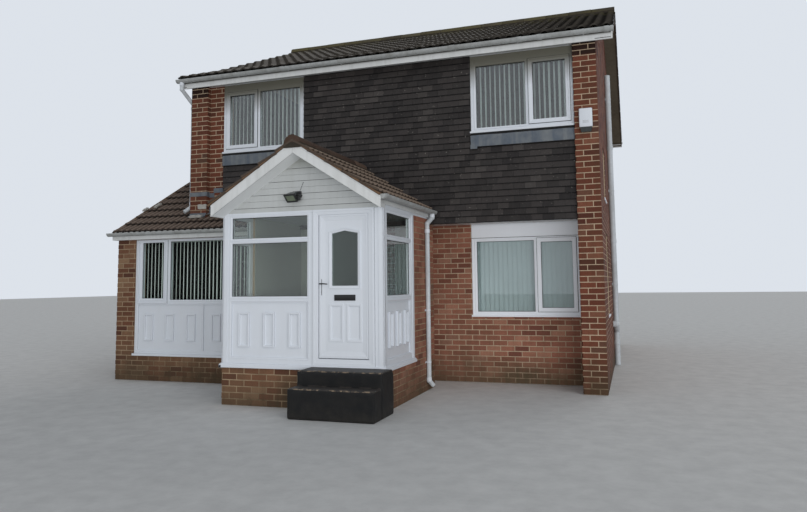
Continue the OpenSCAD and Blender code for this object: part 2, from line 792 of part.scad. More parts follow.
module extension_rear_wall() {
    color("peru") intersection() {
        block(ext_left_x, left_x, ext_rear_y - wall_t, ext_rear_y, 0, far/2);
        under_extension_roof();
    }
}

// One extension slope from the ridge to the fascia, as [y, z] points
function ext_slope(side) = [
    [ext_mid_y, ext_top(ext_mid_y)],
    [ext_mid_y + side*ext_tip,
        ext_top(ext_mid_y + ext_tip)],
    [ext_mid_y + side*ext_tip,
        ext_top(ext_mid_y + ext_tip) - ext_tile_t],
    [ext_mid_y + side*(extension_d/2 + ext_fascia_reach - board_t),
        ext_top(ext_mid_y + extension_d/2 + ext_fascia_reach - board_t) - ext_tile_t],
    [ext_mid_y + side*(extension_d/2 + ext_fascia_reach - board_t),
        ext_under(ext_mid_y + extension_d/2 + ext_fascia_reach - board_t)],
    [ext_mid_y, ext_under(ext_mid_y)]];

module extension_roof() {
    color("saddlebrown") difference() {
        union() {
            along_x(ext_left_x - ext_verge, porch_left_x + 400, ext_slope(-1));
            along_x(ext_left_x - ext_verge, left_x, ext_slope(1));
        }
        // The main block stands in the slope
        block(left_x, in_left_x, front_y, far, 0, far);
        block(in_left_x, front_left_x, upper_y, far, 0, far);
        block(front_left_x, far, tile_y, far, 0, far);
        // The porch stands at its right end, under a valley between the two roofs
        along_y(-far, far, [[porch_left_x, -1], [porch_left_x, porch_top(porch_left_x) - porch_tile_t],
            [porch_tip_left_x, porch_top(porch_tip_left_x) - porch_tile_t],
            [porch_tip_left_x, porch_top(porch_tip_left_x)], [porch_mid_x, porch_ridge_h],
            [far, porch_ridge_h], [far, -1]]);
    }
}

// Porch

front_light = [porch_left_x + 134, leaf_x0 - 146];
side_light = [porch_y + 100, porch_y + porch_side_frame - 150];
left_light = [porch_y + 100, porch_y + porch_left_frame - 70];
porch_panel_foot = porch_frame_foot + 95;
porch_panel_head = porch_rail_h - 39;
porch_glass_bands = [[porch_rail_h + 40, porch_transom_h - 33], [porch_transom_h + 33, porch_frame_h - 65]];

module porch_floor() {
    in_left = porch_left_x + porch_plinth_t;
    in_right = porch_right_x - porch_plinth_t;
    color("gray") block(in_left, in_right, porch_y + porch_plinth_t, upper_y, 0, upper_step_h - 10);
}

module porch_plinth() {
    color("peru") difference() {
        block(porch_left_x, porch_right_x, porch_y, upper_y, 0, porch_plinth_h);
        block(porch_left_x + porch_plinth_t, porch_right_x - porch_plinth_t, porch_y + porch_plinth_t,
            upper_y + 1, -1, porch_plinth_h + 1);
    }
}

// The right brick wall, with its return to the side of the hall
module porch_right_wall() {
    wall_x = porch_right_x - porch_wall_t;
    color("peru") union() {
        block(wall_x, porch_right_x, porch_y + porch_side_frame, tile_y, porch_plinth_h, porch_frame_h);
        block(wall_x, porch_right_x, tile_y, upper_y, porch_plinth_h, tile_foot_h);
        block(wall_x, porch_right_x, upper_y, upper_y + porch_wall_t, porch_plinth_h,
            first_floor_h - jetty_board_t);
        block(hall_x, porch_right_x, upper_y, upper_y + porch_wall_t, 0, first_floor_h - jetty_board_t);
    }
}

module porch_left_wall() {
    wall_y = porch_y + porch_left_frame;
    wall_x1 = porch_left_x + porch_wall_t;
    color("peru") union() {
        block(porch_left_x, wall_x1, wall_y, tile_y, porch_plinth_h, porch_frame_h);
        block(porch_left_x, wall_x1, tile_y, upper_y, porch_plinth_h, tile_foot_h);
    }
}

// The frame with its door opening: a narrow lip in front, a wider rebate behind
module porch_frame() {
    side_y1 = porch_y + porch_side_frame;
    left_y1 = porch_y + porch_left_frame;
    foot = porch_frame_foot;
    sill_past = 30;
    color("white") difference() {
        union() {
            block(porch_left_x, porch_right_x, porch_y, porch_y + frame_t, foot, porch_frame_h);
            block(porch_right_x - frame_t, porch_right_x, porch_y, side_y1, foot, porch_frame_h);
            block(porch_left_x, porch_left_x + frame_t, porch_y, left_y1, foot, porch_frame_h);
            block(porch_left_x - sill_past, porch_right_x + sill_past, porch_y - sill_past,
                porch_y + porch_plinth_t, porch_plinth_h, foot);
            block(porch_right_x - porch_plinth_t, porch_right_x + sill_past, porch_y, side_y1,
                porch_plinth_h, foot);
            block(porch_left_x - sill_past, porch_left_x + porch_plinth_t, porch_y, left_y1,
                porch_plinth_h, foot);
        }
        for (b = concat(porch_glass_bands, [[porch_panel_foot, porch_panel_head]])) {
            block(front_light[0], front_light[1], porch_y - 1, porch_y + frame_t + 1, b[0], b[1]);
            block(porch_right_x - frame_t - 1, porch_right_x + 1, side_light[0], side_light[1], b[0], b[1]);
            block(porch_left_x - 1, porch_left_x + frame_t + 1, left_light[0], left_light[1], b[0], b[1]);
        }
        block(leaf_x0 + door_lap, leaf_x1 - door_lap, porch_y - 1, porch_y + stop_t + 1,
            leaf_foot - door_gap, leaf_foot + door_h - door_lap);
        block(leaf_x0 - swing_gap, leaf_x1 + door_gap, porch_y + stop_t, porch_y + frame_t + 1,
            leaf_foot - door_gap, leaf_foot + door_h + door_gap);
    }
    // The fixed knuckles, above and below each one on the leaf
    for (z = hinge_z) for (dz = [-knuckle_h - pin_gap, knuckle_h + pin_gap]) color("white") union() {
        translate([hinge_x, hinge_y, z + dz]) cylinder(h = knuckle_h, r = knuckle_r);
        block(hinge_x + 3, hinge_x + 45, porch_y + frame_t, hinge_y + 3, z + dz, z + dz + knuckle_h);
    }
}

module porch_glass() {
    g = glass_in;
    for (b = porch_glass_bands) {
        color("lightblue") block(front_light[0], front_light[1], porch_y + g, porch_y + g + glass_t, b[0], b[1]);
        color("lightblue") block(porch_right_x - g - glass_t, porch_right_x - g, side_light[0],
            side_light[1], b[0], b[1]);
        color("lightblue") block(porch_left_x + g, porch_left_x + g + glass_t, left_light[0],
            left_light[1], b[0], b[1]);
    }
}

module porch_gable_boards() {
    under = porch_tile_t + porch_rafter_t;
    color("white") along_y(porch_y, porch_y + 40, [[porch_left_x, porch_frame_h],
        [porch_right_x, porch_frame_h], [porch_right_x, porch_top(porch_right_x) - under],
        [porch_mid_x, porch_ridge_h - under], [porch_left_x, porch_top(porch_left_x) - under]]);
}

// Ceiling boards and the plates that carry the rafters
module porch_ceiling() {
    under = porch_tile_t + porch_rafter_t;
    in = porch_wall_t;
    color("linen") union() {
        block(porch_left_x, porch_right_x, porch_y + 40, tile_y, porch_frame_h, porch_frame_h + 15);
        for (x = [porch_left_x, porch_right_x - 50])
            along_y(porch_y + 40, tile_y, [[x, porch_frame_h + 10], [x + 50, porch_frame_h + 10],
                [x + 50, porch_top(x + 50) - under], [x, porch_top(x) - under]]);
    }
}

module porch_roof() {
    under = porch_tile_t + porch_rafter_t;
    color("saddlebrown") union()
        for (end = [[porch_left_x, porch_tip_left_x], [porch_right_x, porch_tip_right_x]])
            along_y(porch_barge_y + board_t, tile_y, [[porch_mid_x, porch_ridge_h],
                [end[1], porch_top(end[1])], [end[1], porch_top(end[1]) - porch_tile_t],
                [end[0], porch_top(end[0]) - porch_tile_t], [end[0], porch_top(end[0]) - under],
                [porch_mid_x, porch_ridge_h - under]]);
}

module floodlight() {
    x = porch_mid_x - 100;
    z = 2740;
    color("black") union() {
        block(x - 60, x + 60, porch_y - 40, porch_y, z + 20, z + 110);
        block(x - 125, x + 120, porch_y - 150, porch_y - 40, z - 60, z + 60);
    }
}

// Steps

module upper_step() {
    step_x1 = porch_right_x + step_side;
    color("black") block(step_x1 - step_w, step_x1, porch_y - upper_step_d, porch_y - 30, 0, upper_step_h);
    color("black") block(step_x1 - step_w, step_x1, porch_y - 30, porch_y, 0, porch_plinth_h);
}

module lower_step() {
    step_x1 = porch_right_x + step_side;
    y1 = porch_y - upper_step_d;
    color("black") block(step_x1 - step_w, step_x1, y1 - lower_step_d, y1, 0, lower_step_h);
}

// Porch door

door_glass_x = [leaf_x0 + 192, leaf_x0 + 554];
door_glass_z = [leaf_foot + 918, leaf_foot + 1590, leaf_foot + 1632];
hinge_z = [leaf_foot + 180, leaf_foot + 880, leaf_foot + 1600];
knuckle_h = 30;

module door_glass_shape(grow, t) {
    mid = (door_glass_x[0] + door_glass_x[1])/2;
    translate([0, t, 0]) rotate([90, 0, 0]) linear_extrude(t) polygon([
        [door_glass_x[0] - grow, door_glass_z[0] - grow], [door_glass_x[1] + grow, door_glass_z[0] - grow],
        [door_glass_x[1] + grow, door_glass_z[1] + grow], [mid, door_glass_z[2] + grow],
        [door_glass_x[0] - grow, door_glass_z[1] + grow]]);
}

module door_leaf() {
    panel_set = 10;
    leaf_back = leaf_y + door_t;
    color("white") difference() {
        union() {
            block(leaf_x0, leaf_x1, leaf_y, leaf_back, leaf_foot, leaf_foot + door_h);
            for (z = hinge_z) {
                translate([hinge_x, hinge_y, z]) cylinder(h = knuckle_h, r = knuckle_r);
                block(leaf_x1 - 40, hinge_x, leaf_back, leaf_back + pin_out - 3, z, z + knuckle_h);
            }
        }
        translate([0, leaf_y - 1, 0]) door_glass_shape(0, door_t + 2);
        for (p = [[leaf_x0 + 164, leaf_x0 + 344], [leaf_x0 + 409, leaf_x0 + 598]])
            block(p[0], p[1], leaf_y - 1, leaf_y + panel_set, leaf_foot + 220, leaf_foot + 680);
    }
}

module door_glass() {
    color("lightblue") translate([0, leaf_y + (door_t - glass_t)/2, 0]) door_glass_shape(0, glass_t);
}

module door_furniture() {
    plate_x = leaf_x0 + 44;
    z = leaf_foot + handle_h;
    color("black") union() {
        block(plate_x - 13, plate_x + 13, leaf_y - 10, leaf_y, z - 150, z + 60);
        translate([plate_x, leaf_y - 45, z]) rotate([-90, 0, 0]) cylinder(h = 45, r = 9);
        translate([plate_x, leaf_y - 45, z]) rotate([0, 90, 0]) cylinder(h = 110, r = 9);
    }
    color("black") union() {
        block(plate_x - 13, plate_x + 13, leaf_y + door_t, leaf_y + door_t + 10, z - 150, z + 60);
        translate([plate_x, leaf_y + door_t, z]) rotate([-90, 0, 0]) cylinder(h = 45, r = 9);
        translate([plate_x, leaf_y + door_t + 45, z]) rotate([0, 90, 0]) cylinder(h = 110, r = 9);
    }
    color("black") block(leaf_x0 + 230, leaf_x0 + 521, leaf_y - 14, leaf_y, leaf_foot + 730, leaf_foot + 805);
}

ground_floor();
first_floor();
left_gable_wall();
right_gable_wall();
rear_wall();
front_wall_upper();
front_wall_ground();
hall_wall();
tile_hanging();
jetty_soffit();
lead_flashings();
upper_front_windows();
ground_front_window();
side_windows();
rear_windows();
front_glass();
side_glass();
rear_glass();
hall_door();
rear_door();
front_roof_slope();
rear_roof_slope();
ridge_tiles();
barge_boards();
eaves_boards();
gutters();
downpipes();
soil_pipe();
alarm_box();
extension_floor();
extension_front_wall();
extension_side_wall();
extension_rear_wall();
extension_window();
extension_glass();
extension_panels();
extension_roof();
porch_floor();
porch_plinth();
porch_left_wall();
porch_right_wall();
porch_frame();
porch_glass();
porch_panels();
porch_gable_boards();
porch_ceiling();
porch_roof();
floodlight();
upper_step();
lower_step();
door_leaf();
door_glass();
door_furniture();
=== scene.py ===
import math
import random

import bpy
from mathutils import Matrix, Vector, noise


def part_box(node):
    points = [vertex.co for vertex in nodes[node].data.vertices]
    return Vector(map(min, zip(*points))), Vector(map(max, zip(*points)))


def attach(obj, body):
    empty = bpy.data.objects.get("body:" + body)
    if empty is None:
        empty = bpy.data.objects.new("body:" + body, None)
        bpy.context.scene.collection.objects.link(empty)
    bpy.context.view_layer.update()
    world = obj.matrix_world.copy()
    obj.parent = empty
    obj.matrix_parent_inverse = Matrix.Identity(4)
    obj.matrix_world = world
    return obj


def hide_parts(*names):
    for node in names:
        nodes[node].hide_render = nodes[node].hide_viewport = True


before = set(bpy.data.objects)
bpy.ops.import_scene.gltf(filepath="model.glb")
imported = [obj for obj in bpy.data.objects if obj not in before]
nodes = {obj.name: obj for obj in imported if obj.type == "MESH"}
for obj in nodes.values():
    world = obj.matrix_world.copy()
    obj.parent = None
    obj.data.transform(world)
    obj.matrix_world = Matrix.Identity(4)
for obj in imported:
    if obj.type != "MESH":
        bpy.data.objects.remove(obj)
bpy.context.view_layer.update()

print("frame loaded:", len(nodes), "nodes")

# Small tools


def deselectAll():
    bpy.ops.object.select_all(action="DESELECT")


def takeUp(obj):
    # the object becomes the only one selected, and the active one
    deselectAll()
    obj.select_set(True)
    bpy.context.view_layer.objects.active = obj


def editMode(obj, everything=True):
    takeUp(obj)
    bpy.ops.object.mode_set(mode="EDIT")
    bpy.ops.mesh.select_all(action="SELECT" if everything else "DESELECT")


def objectMode():
    bpy.ops.object.mode_set(mode="OBJECT")


def pickFaces(obj, test):
    # selects the faces whose centre and normal pass the test, and opens edit mode
    editMode(obj, False)
    objectMode()
    for face in obj.data.polygons:
        face.select = bool(test(face.center, face.normal))
    bpy.ops.object.mode_set(mode="EDIT")
    bpy.ops.mesh.select_mode(type="FACE")


def pickEdges(obj, test):
    # the same for edges, by the places of their two ends
    editMode(obj, False)
    objectMode()
    for edge in obj.data.edges:
        first, last = [obj.data.vertices[i].co for i in edge.vertices]
        edge.select = bool(test(first, last))
    bpy.ops.object.mode_set(mode="EDIT")
    bpy.ops.mesh.select_mode(type="EDGE")


def applyMod(obj, kind, **settings):
    takeUp(obj)
    modifier = obj.modifiers.new(kind.title(), kind)
    for key, value in settings.items():
        setattr(modifier, key, value)
    bpy.ops.object.modifier_apply(modifier=modifier.name)


def roundEdges(obj, width, segments=2, degrees=30):
    applyMod(obj, "BEVEL", width=width, segments=segments, limit_method="ANGLE",
             angle_limit=math.radians(degrees))


def rowOf(obj, count, step, nextU=0.0, nextV=0.0):
    # copies at equal steps; the UV of each moves on as asked
    applyMod(obj, "ARRAY", use_relative_offset=False, use_constant_offset=True, count=count,
             constant_offset_displace=step, offset_u=nextU, offset_v=nextV)


def settle(obj):
    # puts the object's place, turn and scale into its mesh
    takeUp(obj)
    bpy.ops.object.transform_apply(location=True, rotation=True, scale=True)


def block(name, low, high, bevel=0.0, segments=1):
    low = Vector(low)
    high = Vector(high)
    deselectAll()
    bpy.ops.mesh.primitive_cube_add(size=1, location=(low + high) / 2, scale=high - low)
    obj = bpy.context.object
    obj.name = name
    settle(obj)
    if bevel:
        editMode(obj)
        bpy.ops.mesh.bevel(offset=bevel, segments=segments, affect="EDGES", clamp_overlap=True)
        objectMode()
    return obj


def cylinder(radius, depth, middle=(0, 0, 0), axis="Z", vertices=24):
    spin = {"X": (0, math.pi / 2, 0), "Y": (math.pi / 2, 0, 0), "Z": (0, 0, 0)}[axis]
    deselectAll()
    bpy.ops.mesh.primitive_cylinder_add(vertices=vertices, radius=radius, depth=depth, rotation=spin,
                                        location=middle)
    made = bpy.context.object
    settle(made)
    return made


def joined(name, parts):
    deselectAll()
    for part in parts:
        part.select_set(True)
    bpy.context.view_layer.objects.active = parts[0]
    if len(parts) > 1:
        bpy.ops.object.join()
    parts[0].name = name
    return parts[0]


def drop(obj):
    bpy.data.objects.remove(obj, do_unlink=True)


def boolean(obj, cutter, operation="DIFFERENCE", keep=False):
    applyMod(obj, "BOOLEAN", object=cutter, operation=operation, solver="MANIFOLD")
    if not keep:
        drop(cutter)
    return obj


def copyNode(node, name, grow=0.0):
    # a loose copy of a CAD node with its doubles merged, grown outwards if asked
    obj = bpy.data.objects.new(name, nodes[node].data.copy())
    obj.data.materials.clear()
    bpy.context.scene.collection.objects.link(obj)
    editMode(obj)
    bpy.ops.mesh.remove_doubles(threshold=0.00005)
    bpy.ops.mesh.dissolve_limited(angle_limit=math.radians(0.5))
    if grow:
        bpy.ops.transform.shrink_fatten(value=grow, use_even_offset=True)
    objectMode()
    return obj


def shift(obj, offset):
    editMode(obj)
    bpy.ops.transform.translate(value=offset)
    objectMode()
    return obj


def smooth(obj, degrees=35):
    takeUp(obj)
    bpy.ops.object.shade_smooth_by_angle(angle=math.radians(degrees))


def paint(obj, material):
    obj.data.materials.clear()
    obj.data.materials.append(material)


def finishPiece(obj, material, body="house", stands=()):
    paint(obj, material)
    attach(obj, body)
    if stands:
        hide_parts(*stands)
    return obj


def piece(name, parts, material, body="house", stands=()):
    return finishPiece(joined(name, parts), material, body, stands)


def cosine(degrees):
    return math.cos(math.radians(degrees))


def tangent(degrees):
    return math.tan(math.radians(degrees))


# Materials

def linear(red, green, blue):
    # 0 to 255 screen values to the shader's linear ones
    parts = []
    for value in (red, green, blue):
        value = value / 255
        parts.append(value / 12.92 if value <= 0.04045 else ((value + 0.055) / 1.055) ** 2.4)
    return (parts[0], parts[1], parts[2], 1.0)


def shaderColour(value):
    # three screen values are a colour; anything else passes as it is
    return linear(*value) if isinstance(value, tuple) and len(value) == 3 else value


def newGroup(name, inputs, outputs):
    # the inputs are numbers, or vectors where the value is a tuple; the outputs are numbers
    group = bpy.data.node_groups.new(name, "ShaderNodeTree")
    for label, value in inputs.items():
        kind = "NodeSocketVector" if isinstance(value, tuple) else "NodeSocketFloat"
        socket = group.interface.new_socket(name=label, in_out="INPUT", socket_type=kind)
        socket.default_value = value
    for label in outputs:
        group.interface.new_socket(name=label, in_out="OUTPUT", socket_type="NodeSocketFloat")
    return group, group.nodes.new("NodeGroupInput"), group.nodes.new("NodeGroupOutput")


def node(tree, kind, **settings):
    made = tree.nodes.new("ShaderNode" + kind)
    for key, value in settings.items():
        setattr(made, key, value)
    return made


def placeParts(tree):
    # x, y and z of a point in the piece's own coordinates
    where = node(tree, "TexCoord")
    parts = node(tree, "SeparateXYZ")
    tree.links.new(where.outputs["Object"], parts.inputs[0])
    return parts.outputs


def mathNode(tree, operation, first, second, third=None, clamp=False):
    made = node(tree, "Math", operation=operation, use_clamp=clamp)
    for socket, value in ((made.inputs[0], first), (made.inputs[1], second)):
        if isinstance(value, (int, float)):
            socket.default_value = value
        else:
            tree.links.new(value, socket)
    if third is not None:
        made.inputs[2].default_value = third
    return made.outputs[0]


def mixColour(tree, factor, first, second, blend="MIX"):
    made = node(tree, "Mix", data_type="RGBA", blend_type=blend)
    for socket, value in ((made.inputs[0], factor), (made.inputs[6], first), (made.inputs[7], second)):
        if isinstance(value, (int, float, tuple)):
            socket.default_value = shaderColour(value)
        else:
            tree.links.new(value, socket)
    return made.outputs[2]


def makeCellTone():
    # random values for each brick or tile from the whole part of its UV, and the place within it
    group, inp, out = newGroup("cellTone", {"Seed": 0.0}, ("Tone", "Other", "Along", "Up"))
    uv = node(group, "UVMap")
    whole = node(group, "VectorMath", operation="FLOOR")
    part = node(group, "VectorMath", operation="FRACTION")
    random4 = node(group, "TexWhiteNoise", noise_dimensions="4D")
    split = node(group, "SeparateColor")
    place = node(group, "SeparateXYZ")
    group.links.new(uv.outputs[0], whole.inputs[0])
    group.links.new(uv.outputs[0], part.inputs[0])
    group.links.new(whole.outputs[0], random4.inputs["Vector"])
    group.links.new(inp.outputs[0], random4.inputs["W"])
    group.links.new(random4.outputs["Color"], split.inputs[0])
    group.links.new(part.outputs[0], place.inputs[0])
    for index, source in enumerate((split, split, place, place)):
        group.links.new(source.outputs[index % 2], out.inputs[index])
    return group


def makeGrime():
    # a soft mask of weather stains: clouds, runs down the face and splashed dirt near the ground
    group, inp, out = newGroup("grime", {"Scale": 1.5, "Clouds": 0.5, "Runs": 0.3, "Splash": 0.6,
                                         "Splash height": 0.5}, ("Mask",))
    where = node(group, "TexCoord")
    clouds = node(group, "TexNoise")
    clouds.inputs["Detail"].default_value = 4.0
    clouds.inputs["Roughness"].default_value = 0.6
    group.links.new(where.outputs["Object"], clouds.inputs["Vector"])
    group.links.new(inp.outputs["Scale"], clouds.inputs["Scale"])
    cloudy = mathNode(group, "MULTIPLY_ADD", clouds.outputs["Fac"], 3.0, -1.2, clamp=True)
    stretch = node(group, "Mapping")
    stretch.inputs["Scale"].default_value = (9.0, 9.0, 0.7)
    runs = node(group, "TexNoise")
    runs.inputs["Scale"].default_value = 1.6
    runs.inputs["Detail"].default_value = 3.0
    group.links.new(where.outputs["Object"], stretch.inputs["Vector"])
    group.links.new(stretch.outputs[0], runs.inputs["Vector"])
    running = mathNode(group, "MULTIPLY_ADD", runs.outputs["Fac"], 3.5, -1.6, clamp=True)
    height = mathNode(group, "DIVIDE", placeParts(group)["Z"], inp.outputs["Splash height"])
    wobble = mathNode(group, "MULTIPLY", cloudy, 0.5)
    height = mathNode(group, "SUBTRACT", height, wobble)
    low = mathNode(group, "SUBTRACT", 1.0, height, clamp=True)
    total = mathNode(group, "MULTIPLY", cloudy, inp.outputs["Clouds"])
    total = mathNode(group, "ADD", total, mathNode(group, "MULTIPLY", running, inp.outputs["Runs"]))
    total = mathNode(group, "ADD", total, mathNode(group, "MULTIPLY", low, inp.outputs["Splash"]), clamp=True)
    group.links.new(total, out.inputs[0])
    return group


def makeGrain():
    # fine surface grain as a height and as a value around 0.5
    group, inp, out = newGroup("grain", {"Scale": 60.0, "Detail": 5.0}, ("Value",))
    where = node(group, "TexCoord")
    fine = node(group, "TexNoise")
    fine.inputs["Roughness"].default_value = 0.65
    group.links.new(where.outputs["Object"], fine.inputs["Vector"])
    group.links.new(inp.outputs["Scale"], fine.inputs["Scale"])
    group.links.new(inp.outputs["Detail"], fine.inputs["Detail"])
    group.links.new(fine.outputs["Fac"], out.inputs[0])
    return group


def makeIndoors():
    # 1 inside a box of the house's rooms, 0 outside
    group, inp, out = newGroup("indoors", {"Low": (0.0, 0.0, 0.0), "High": (0.0, 0.0, 0.0)}, ("Mask",))
    place = placeParts(group)
    low = node(group, "SeparateXYZ")
    high = node(group, "SeparateXYZ")
    group.links.new(inp.outputs[0], low.inputs[0])
    group.links.new(inp.outputs[1], high.inputs[0])
    total = 1.0
    for axis in range(3):
        above = mathNode(group, "GREATER_THAN", place[axis], low.outputs[axis])
        below = mathNode(group, "LESS_THAN", place[axis], high.outputs[axis])
        total = mathNode(group, "MULTIPLY", total, mathNode(group, "MULTIPLY", above, below))
    group.links.new(total, out.inputs[0])
    return group


indoors = makeIndoors()
cellTone = makeCellTone()
grime = makeGrime()
grain = makeGrain()


def startMaterial(name, roughness=0.6, specular=0.3, metallic=0.0):
    material = bpy.data.materials.new(name)
    material.use_nodes = True
    tree = material.node_tree
    shader = tree.nodes["Principled BSDF"]
    shader.inputs["Roughness"].default_value = roughness
    shader.inputs["Specular IOR Level"].default_value = specular
    shader.inputs["Metallic"].default_value = metallic
    return material, tree, shader


def useGroup(tree, group, **values):
    made = node(tree, "Group", node_tree=group)
    for key, value in values.items():
        made.inputs[key.replace("_", " ")].default_value = value
    return made


def addBump(tree, shader, height, strength, distance):
    bump = node(tree, "Bump")
    bump.inputs["Strength"].default_value = strength
    bump.inputs["Distance"].default_value = distance
    tree.links.new(height, bump.inputs["Height"])
    tree.links.new(bump.outputs[0], shader.inputs["Normal"])


def ramp(tree, value, stops):
    made = node(tree, "ValToRGB")
    marks = made.color_ramp.elements
    while len(marks) < len(stops):
        marks.new(0.5)
    for mark, (place, colour) in zip(marks, stops):
        mark.position = place
        mark.color = shaderColour(colour)
    tree.links.new(value, made.inputs[0])
    return made.outputs[0]


def speckled(tree, shade, fine, fleck):
    # the grain varies the lightness between the two factors
    low, high = fleck
    speckle = ramp(tree, fine.outputs[0], [(0.3, (low, low, low, 1)), (0.7, (high, high, high, 1))])
    return mixColour(tree, 1.0, shade, speckle, "MULTIPLY")


paintedShadeAndDirt = {
    "closedIn": 0.88,      # how fully the boxes darken the bricks: painted shade on walls shut off from the light, painted shadow with dirt at the piers' heads
    "eavesBand": 0.16,     # height of the band of painted shadow and dirt above the soffit's foot
    "eaves": 0.95,
    "courseLine": 0.15,    # the part at a hung tile's foot that takes the painted shadow of its lap
}


def paintedMaterial(name, colour, dirt, roughness=0.4, specular=0.4, grainScale=60.0, bump=0.15,
                    clouds=0.25, runs=0.2, splash=0.0, splashHeight=0.6, metallic=0.0, grimeScale=1.5,
                    rooms=(), fleck=(0.9, 1.06), eaves=None):
    # one plain finish with grain and weather stains, and where asked the rooms' colours and a painted shadow
    # with dirt under the eaves
    material, tree, shader = startMaterial(name, roughness, specular, metallic)
    stain = useGroup(tree, grime, Scale=grimeScale, Clouds=clouds, Runs=runs, Splash=splash,
                     Splash_height=splashHeight)
    fine = useGroup(tree, grain, Scale=grainScale)
    shade = speckled(tree, mixColour(tree, stain.outputs[0], colour, dirt), fine, fleck)
    # inside each box given the colour is swapped: the dim rooms get painted shade, the porch its own plaster
    for low, high, tone in rooms:
        inside = useGroup(tree, indoors, Low=low, High=high)
        shade = mixColour(tree, inside.outputs[0], shade, tone)
    if eaves:
        # painted shadow under the eaves and gutters, with some dirt, that thickens upwards
        start, end, tone = eaves
        z = placeParts(tree)["Z"]
        rise = mathNode(tree, "DIVIDE", mathNode(tree, "SUBTRACT", z, start), end - start, clamp=True)
        band = mathNode(tree, "LESS_THAN", z, end + paintedShadeAndDirt["eavesBand"])
        band = mathNode(tree, "MULTIPLY", band, paintedShadeAndDirt["eaves"])
        shade = mixColour(tree, mathNode(tree, "MULTIPLY", rise, band), shade, tone)
    tree.links.new(shade, shader.inputs["Base Color"])
    addBump(tree, shader, fine.outputs[0], bump, 0.002)
    return material


def cellMaterial(name, stops, dirt, seed, roughness=0.85, clouds=0.3, runs=0.2, splash=0.7,
                 splashHeight=0.45, fleck=(0.8, 1.15), specular=0.2, bump=0.5, shadeAndSoil=(), lapShadow=0.0):
    # bricks and tiles: each has its own colour from its UV, with grain and stains over all, and boxes of
    # painted shade where asked
    material, tree, shader = startMaterial(name, roughness, specular)
    cell = useGroup(tree, cellTone, Seed=seed)
    stain = useGroup(tree, grime, Scale=1.2, Clouds=clouds, Runs=runs, Splash=splash,
                     Splash_height=splashHeight)
    fine = useGroup(tree, grain, Scale=55.0)
    shade = speckled(tree, ramp(tree, cell.outputs[0], stops), fine, fleck)
    shade = mixColour(tree, stain.outputs[0], shade, dirt)
    if lapShadow:
        # the painted shadow under each tile's lap, and pale spots
        foot = mathNode(tree, "LESS_THAN", cell.outputs["Up"], paintedShadeAndDirt["courseLine"])
        foot = mathNode(tree, "MULTIPLY", foot, lapShadow)
        shade = mixColour(tree, foot, shade, (18, 16, 16))
        spots = mathNode(tree, "GREATER_THAN", useGroup(tree, grain, Scale=26.0).outputs[0], 0.665)
        shade = mixColour(tree, mathNode(tree, "MULTIPLY", spots, 0.75), shade, (128, 124, 118))
    # painted shade in the boxes: near black in closed-in walls, shadow with dirt at the piers' heads
    for low, high, colour in shadeAndSoil:
        inside = useGroup(tree, indoors, Low=low, High=high)
        part = mathNode(tree, "MULTIPLY", inside.outputs[0], paintedShadeAndDirt["closedIn"])
        shade = mixColour(tree, part, shade, colour)
    tree.links.new(shade, shader.inputs["Base Color"])
    addBump(tree, shader, fine.outputs[0], bump, 0.003)
    return material, tree, shader, shade, cell


# painted shade on brickwork that the extension has closed in, and painted shadow with dirt on the heads of
# the piers under the eaves
closedIn = [((-4.42, -4.03, 0.49), (-3.44, 0.6, 2.45), (12, 12, 12)),
            ((-3.46, -4.03, 0.49), (-1.43, -2.9, 2.6), (12, 12, 12))]
pierHeads = ((-3.5, -4.02, 4.88), (3.5, -3.99, 5.09), (34, 27, 24))
brickRed = cellMaterial("brickRed", [
    (0.0, (74, 43, 36)), (0.10, (92, 54, 43)), (0.4, (104, 59, 46)),
    (0.75, (113, 66, 51)), (0.92, (126, 82, 65)), (1.0, (84, 60, 51))],
    (72, 60, 45), 1.0, shadeAndSoil=[pierHeads] + closedIn)[0]
# a lighter copy of the brick for the recess under the jetty and the right sides of the porch, plinth and
# hall: painted light
brickPaintedLight = cellMaterial("brickPaintedLight", [
    (0.0, (112, 70, 60)), (0.12, (130, 84, 69)), (0.4, (142, 94, 78)),
    (0.75, (152, 102, 84)), (0.92, (164, 118, 98)), (1.0, (120, 90, 78))],
    (84, 72, 56), 1.5, shadeAndSoil=closedIn)[0]
brickTan = cellMaterial("brickTan", [
    (0.0, (84, 54, 44)), (0.25, (112, 76, 58)), (0.5, (128, 98, 76)),
    (0.75, (106, 68, 52)), (1.0, (140, 112, 88))], (74, 62, 48), 2.0)[0]
paintedRoomShade = (26, 26, 25)
# the dim rooms behind the windows take a painted shade; the last box, the porch, takes its own pale plaster
rooms = [((-3.13, -2.93, 0.49), (3.13, 3.73, 5.6), paintedRoomShade),
         ((-3.13, -3.64, 0.49), (0.41, -2.9, 2.6), paintedRoomShade),
         ((-3.13, -3.64, 2.6), (3.13, -2.9, 5.6), paintedRoomShade),
         ((-3.46, -4.06, 0.49), (-1.43, -3.6, 2.7), paintedRoomShade),
         ((-4.4, -4.06, 0.49), (-3.44, 0.6, 2.45), paintedRoomShade),
         ((-1.335, -5.86, 0.45), (0.785, -3.89, 2.6), (156, 160, 152))]
mortarPale = paintedMaterial("mortarPale", (186, 166, 142), (92, 78, 60), 0.95, 0.1, 90.0, 0.6,
                             clouds=0.3, runs=0.2, splash=0.7, splashHeight=0.4, rooms=rooms)
mortarTan = paintedMaterial("mortarTan", (166, 146, 120), (84, 72, 56), 0.95, 0.1, 90.0, 0.6,
                            clouds=0.4, runs=0.3, splash=0.6, splashHeight=0.4, rooms=rooms)
plaster = paintedMaterial("plaster", (154, 158, 150), (150, 152, 144), 0.9, 0.2, 30.0, 0.1,
                          rooms=rooms[:5])
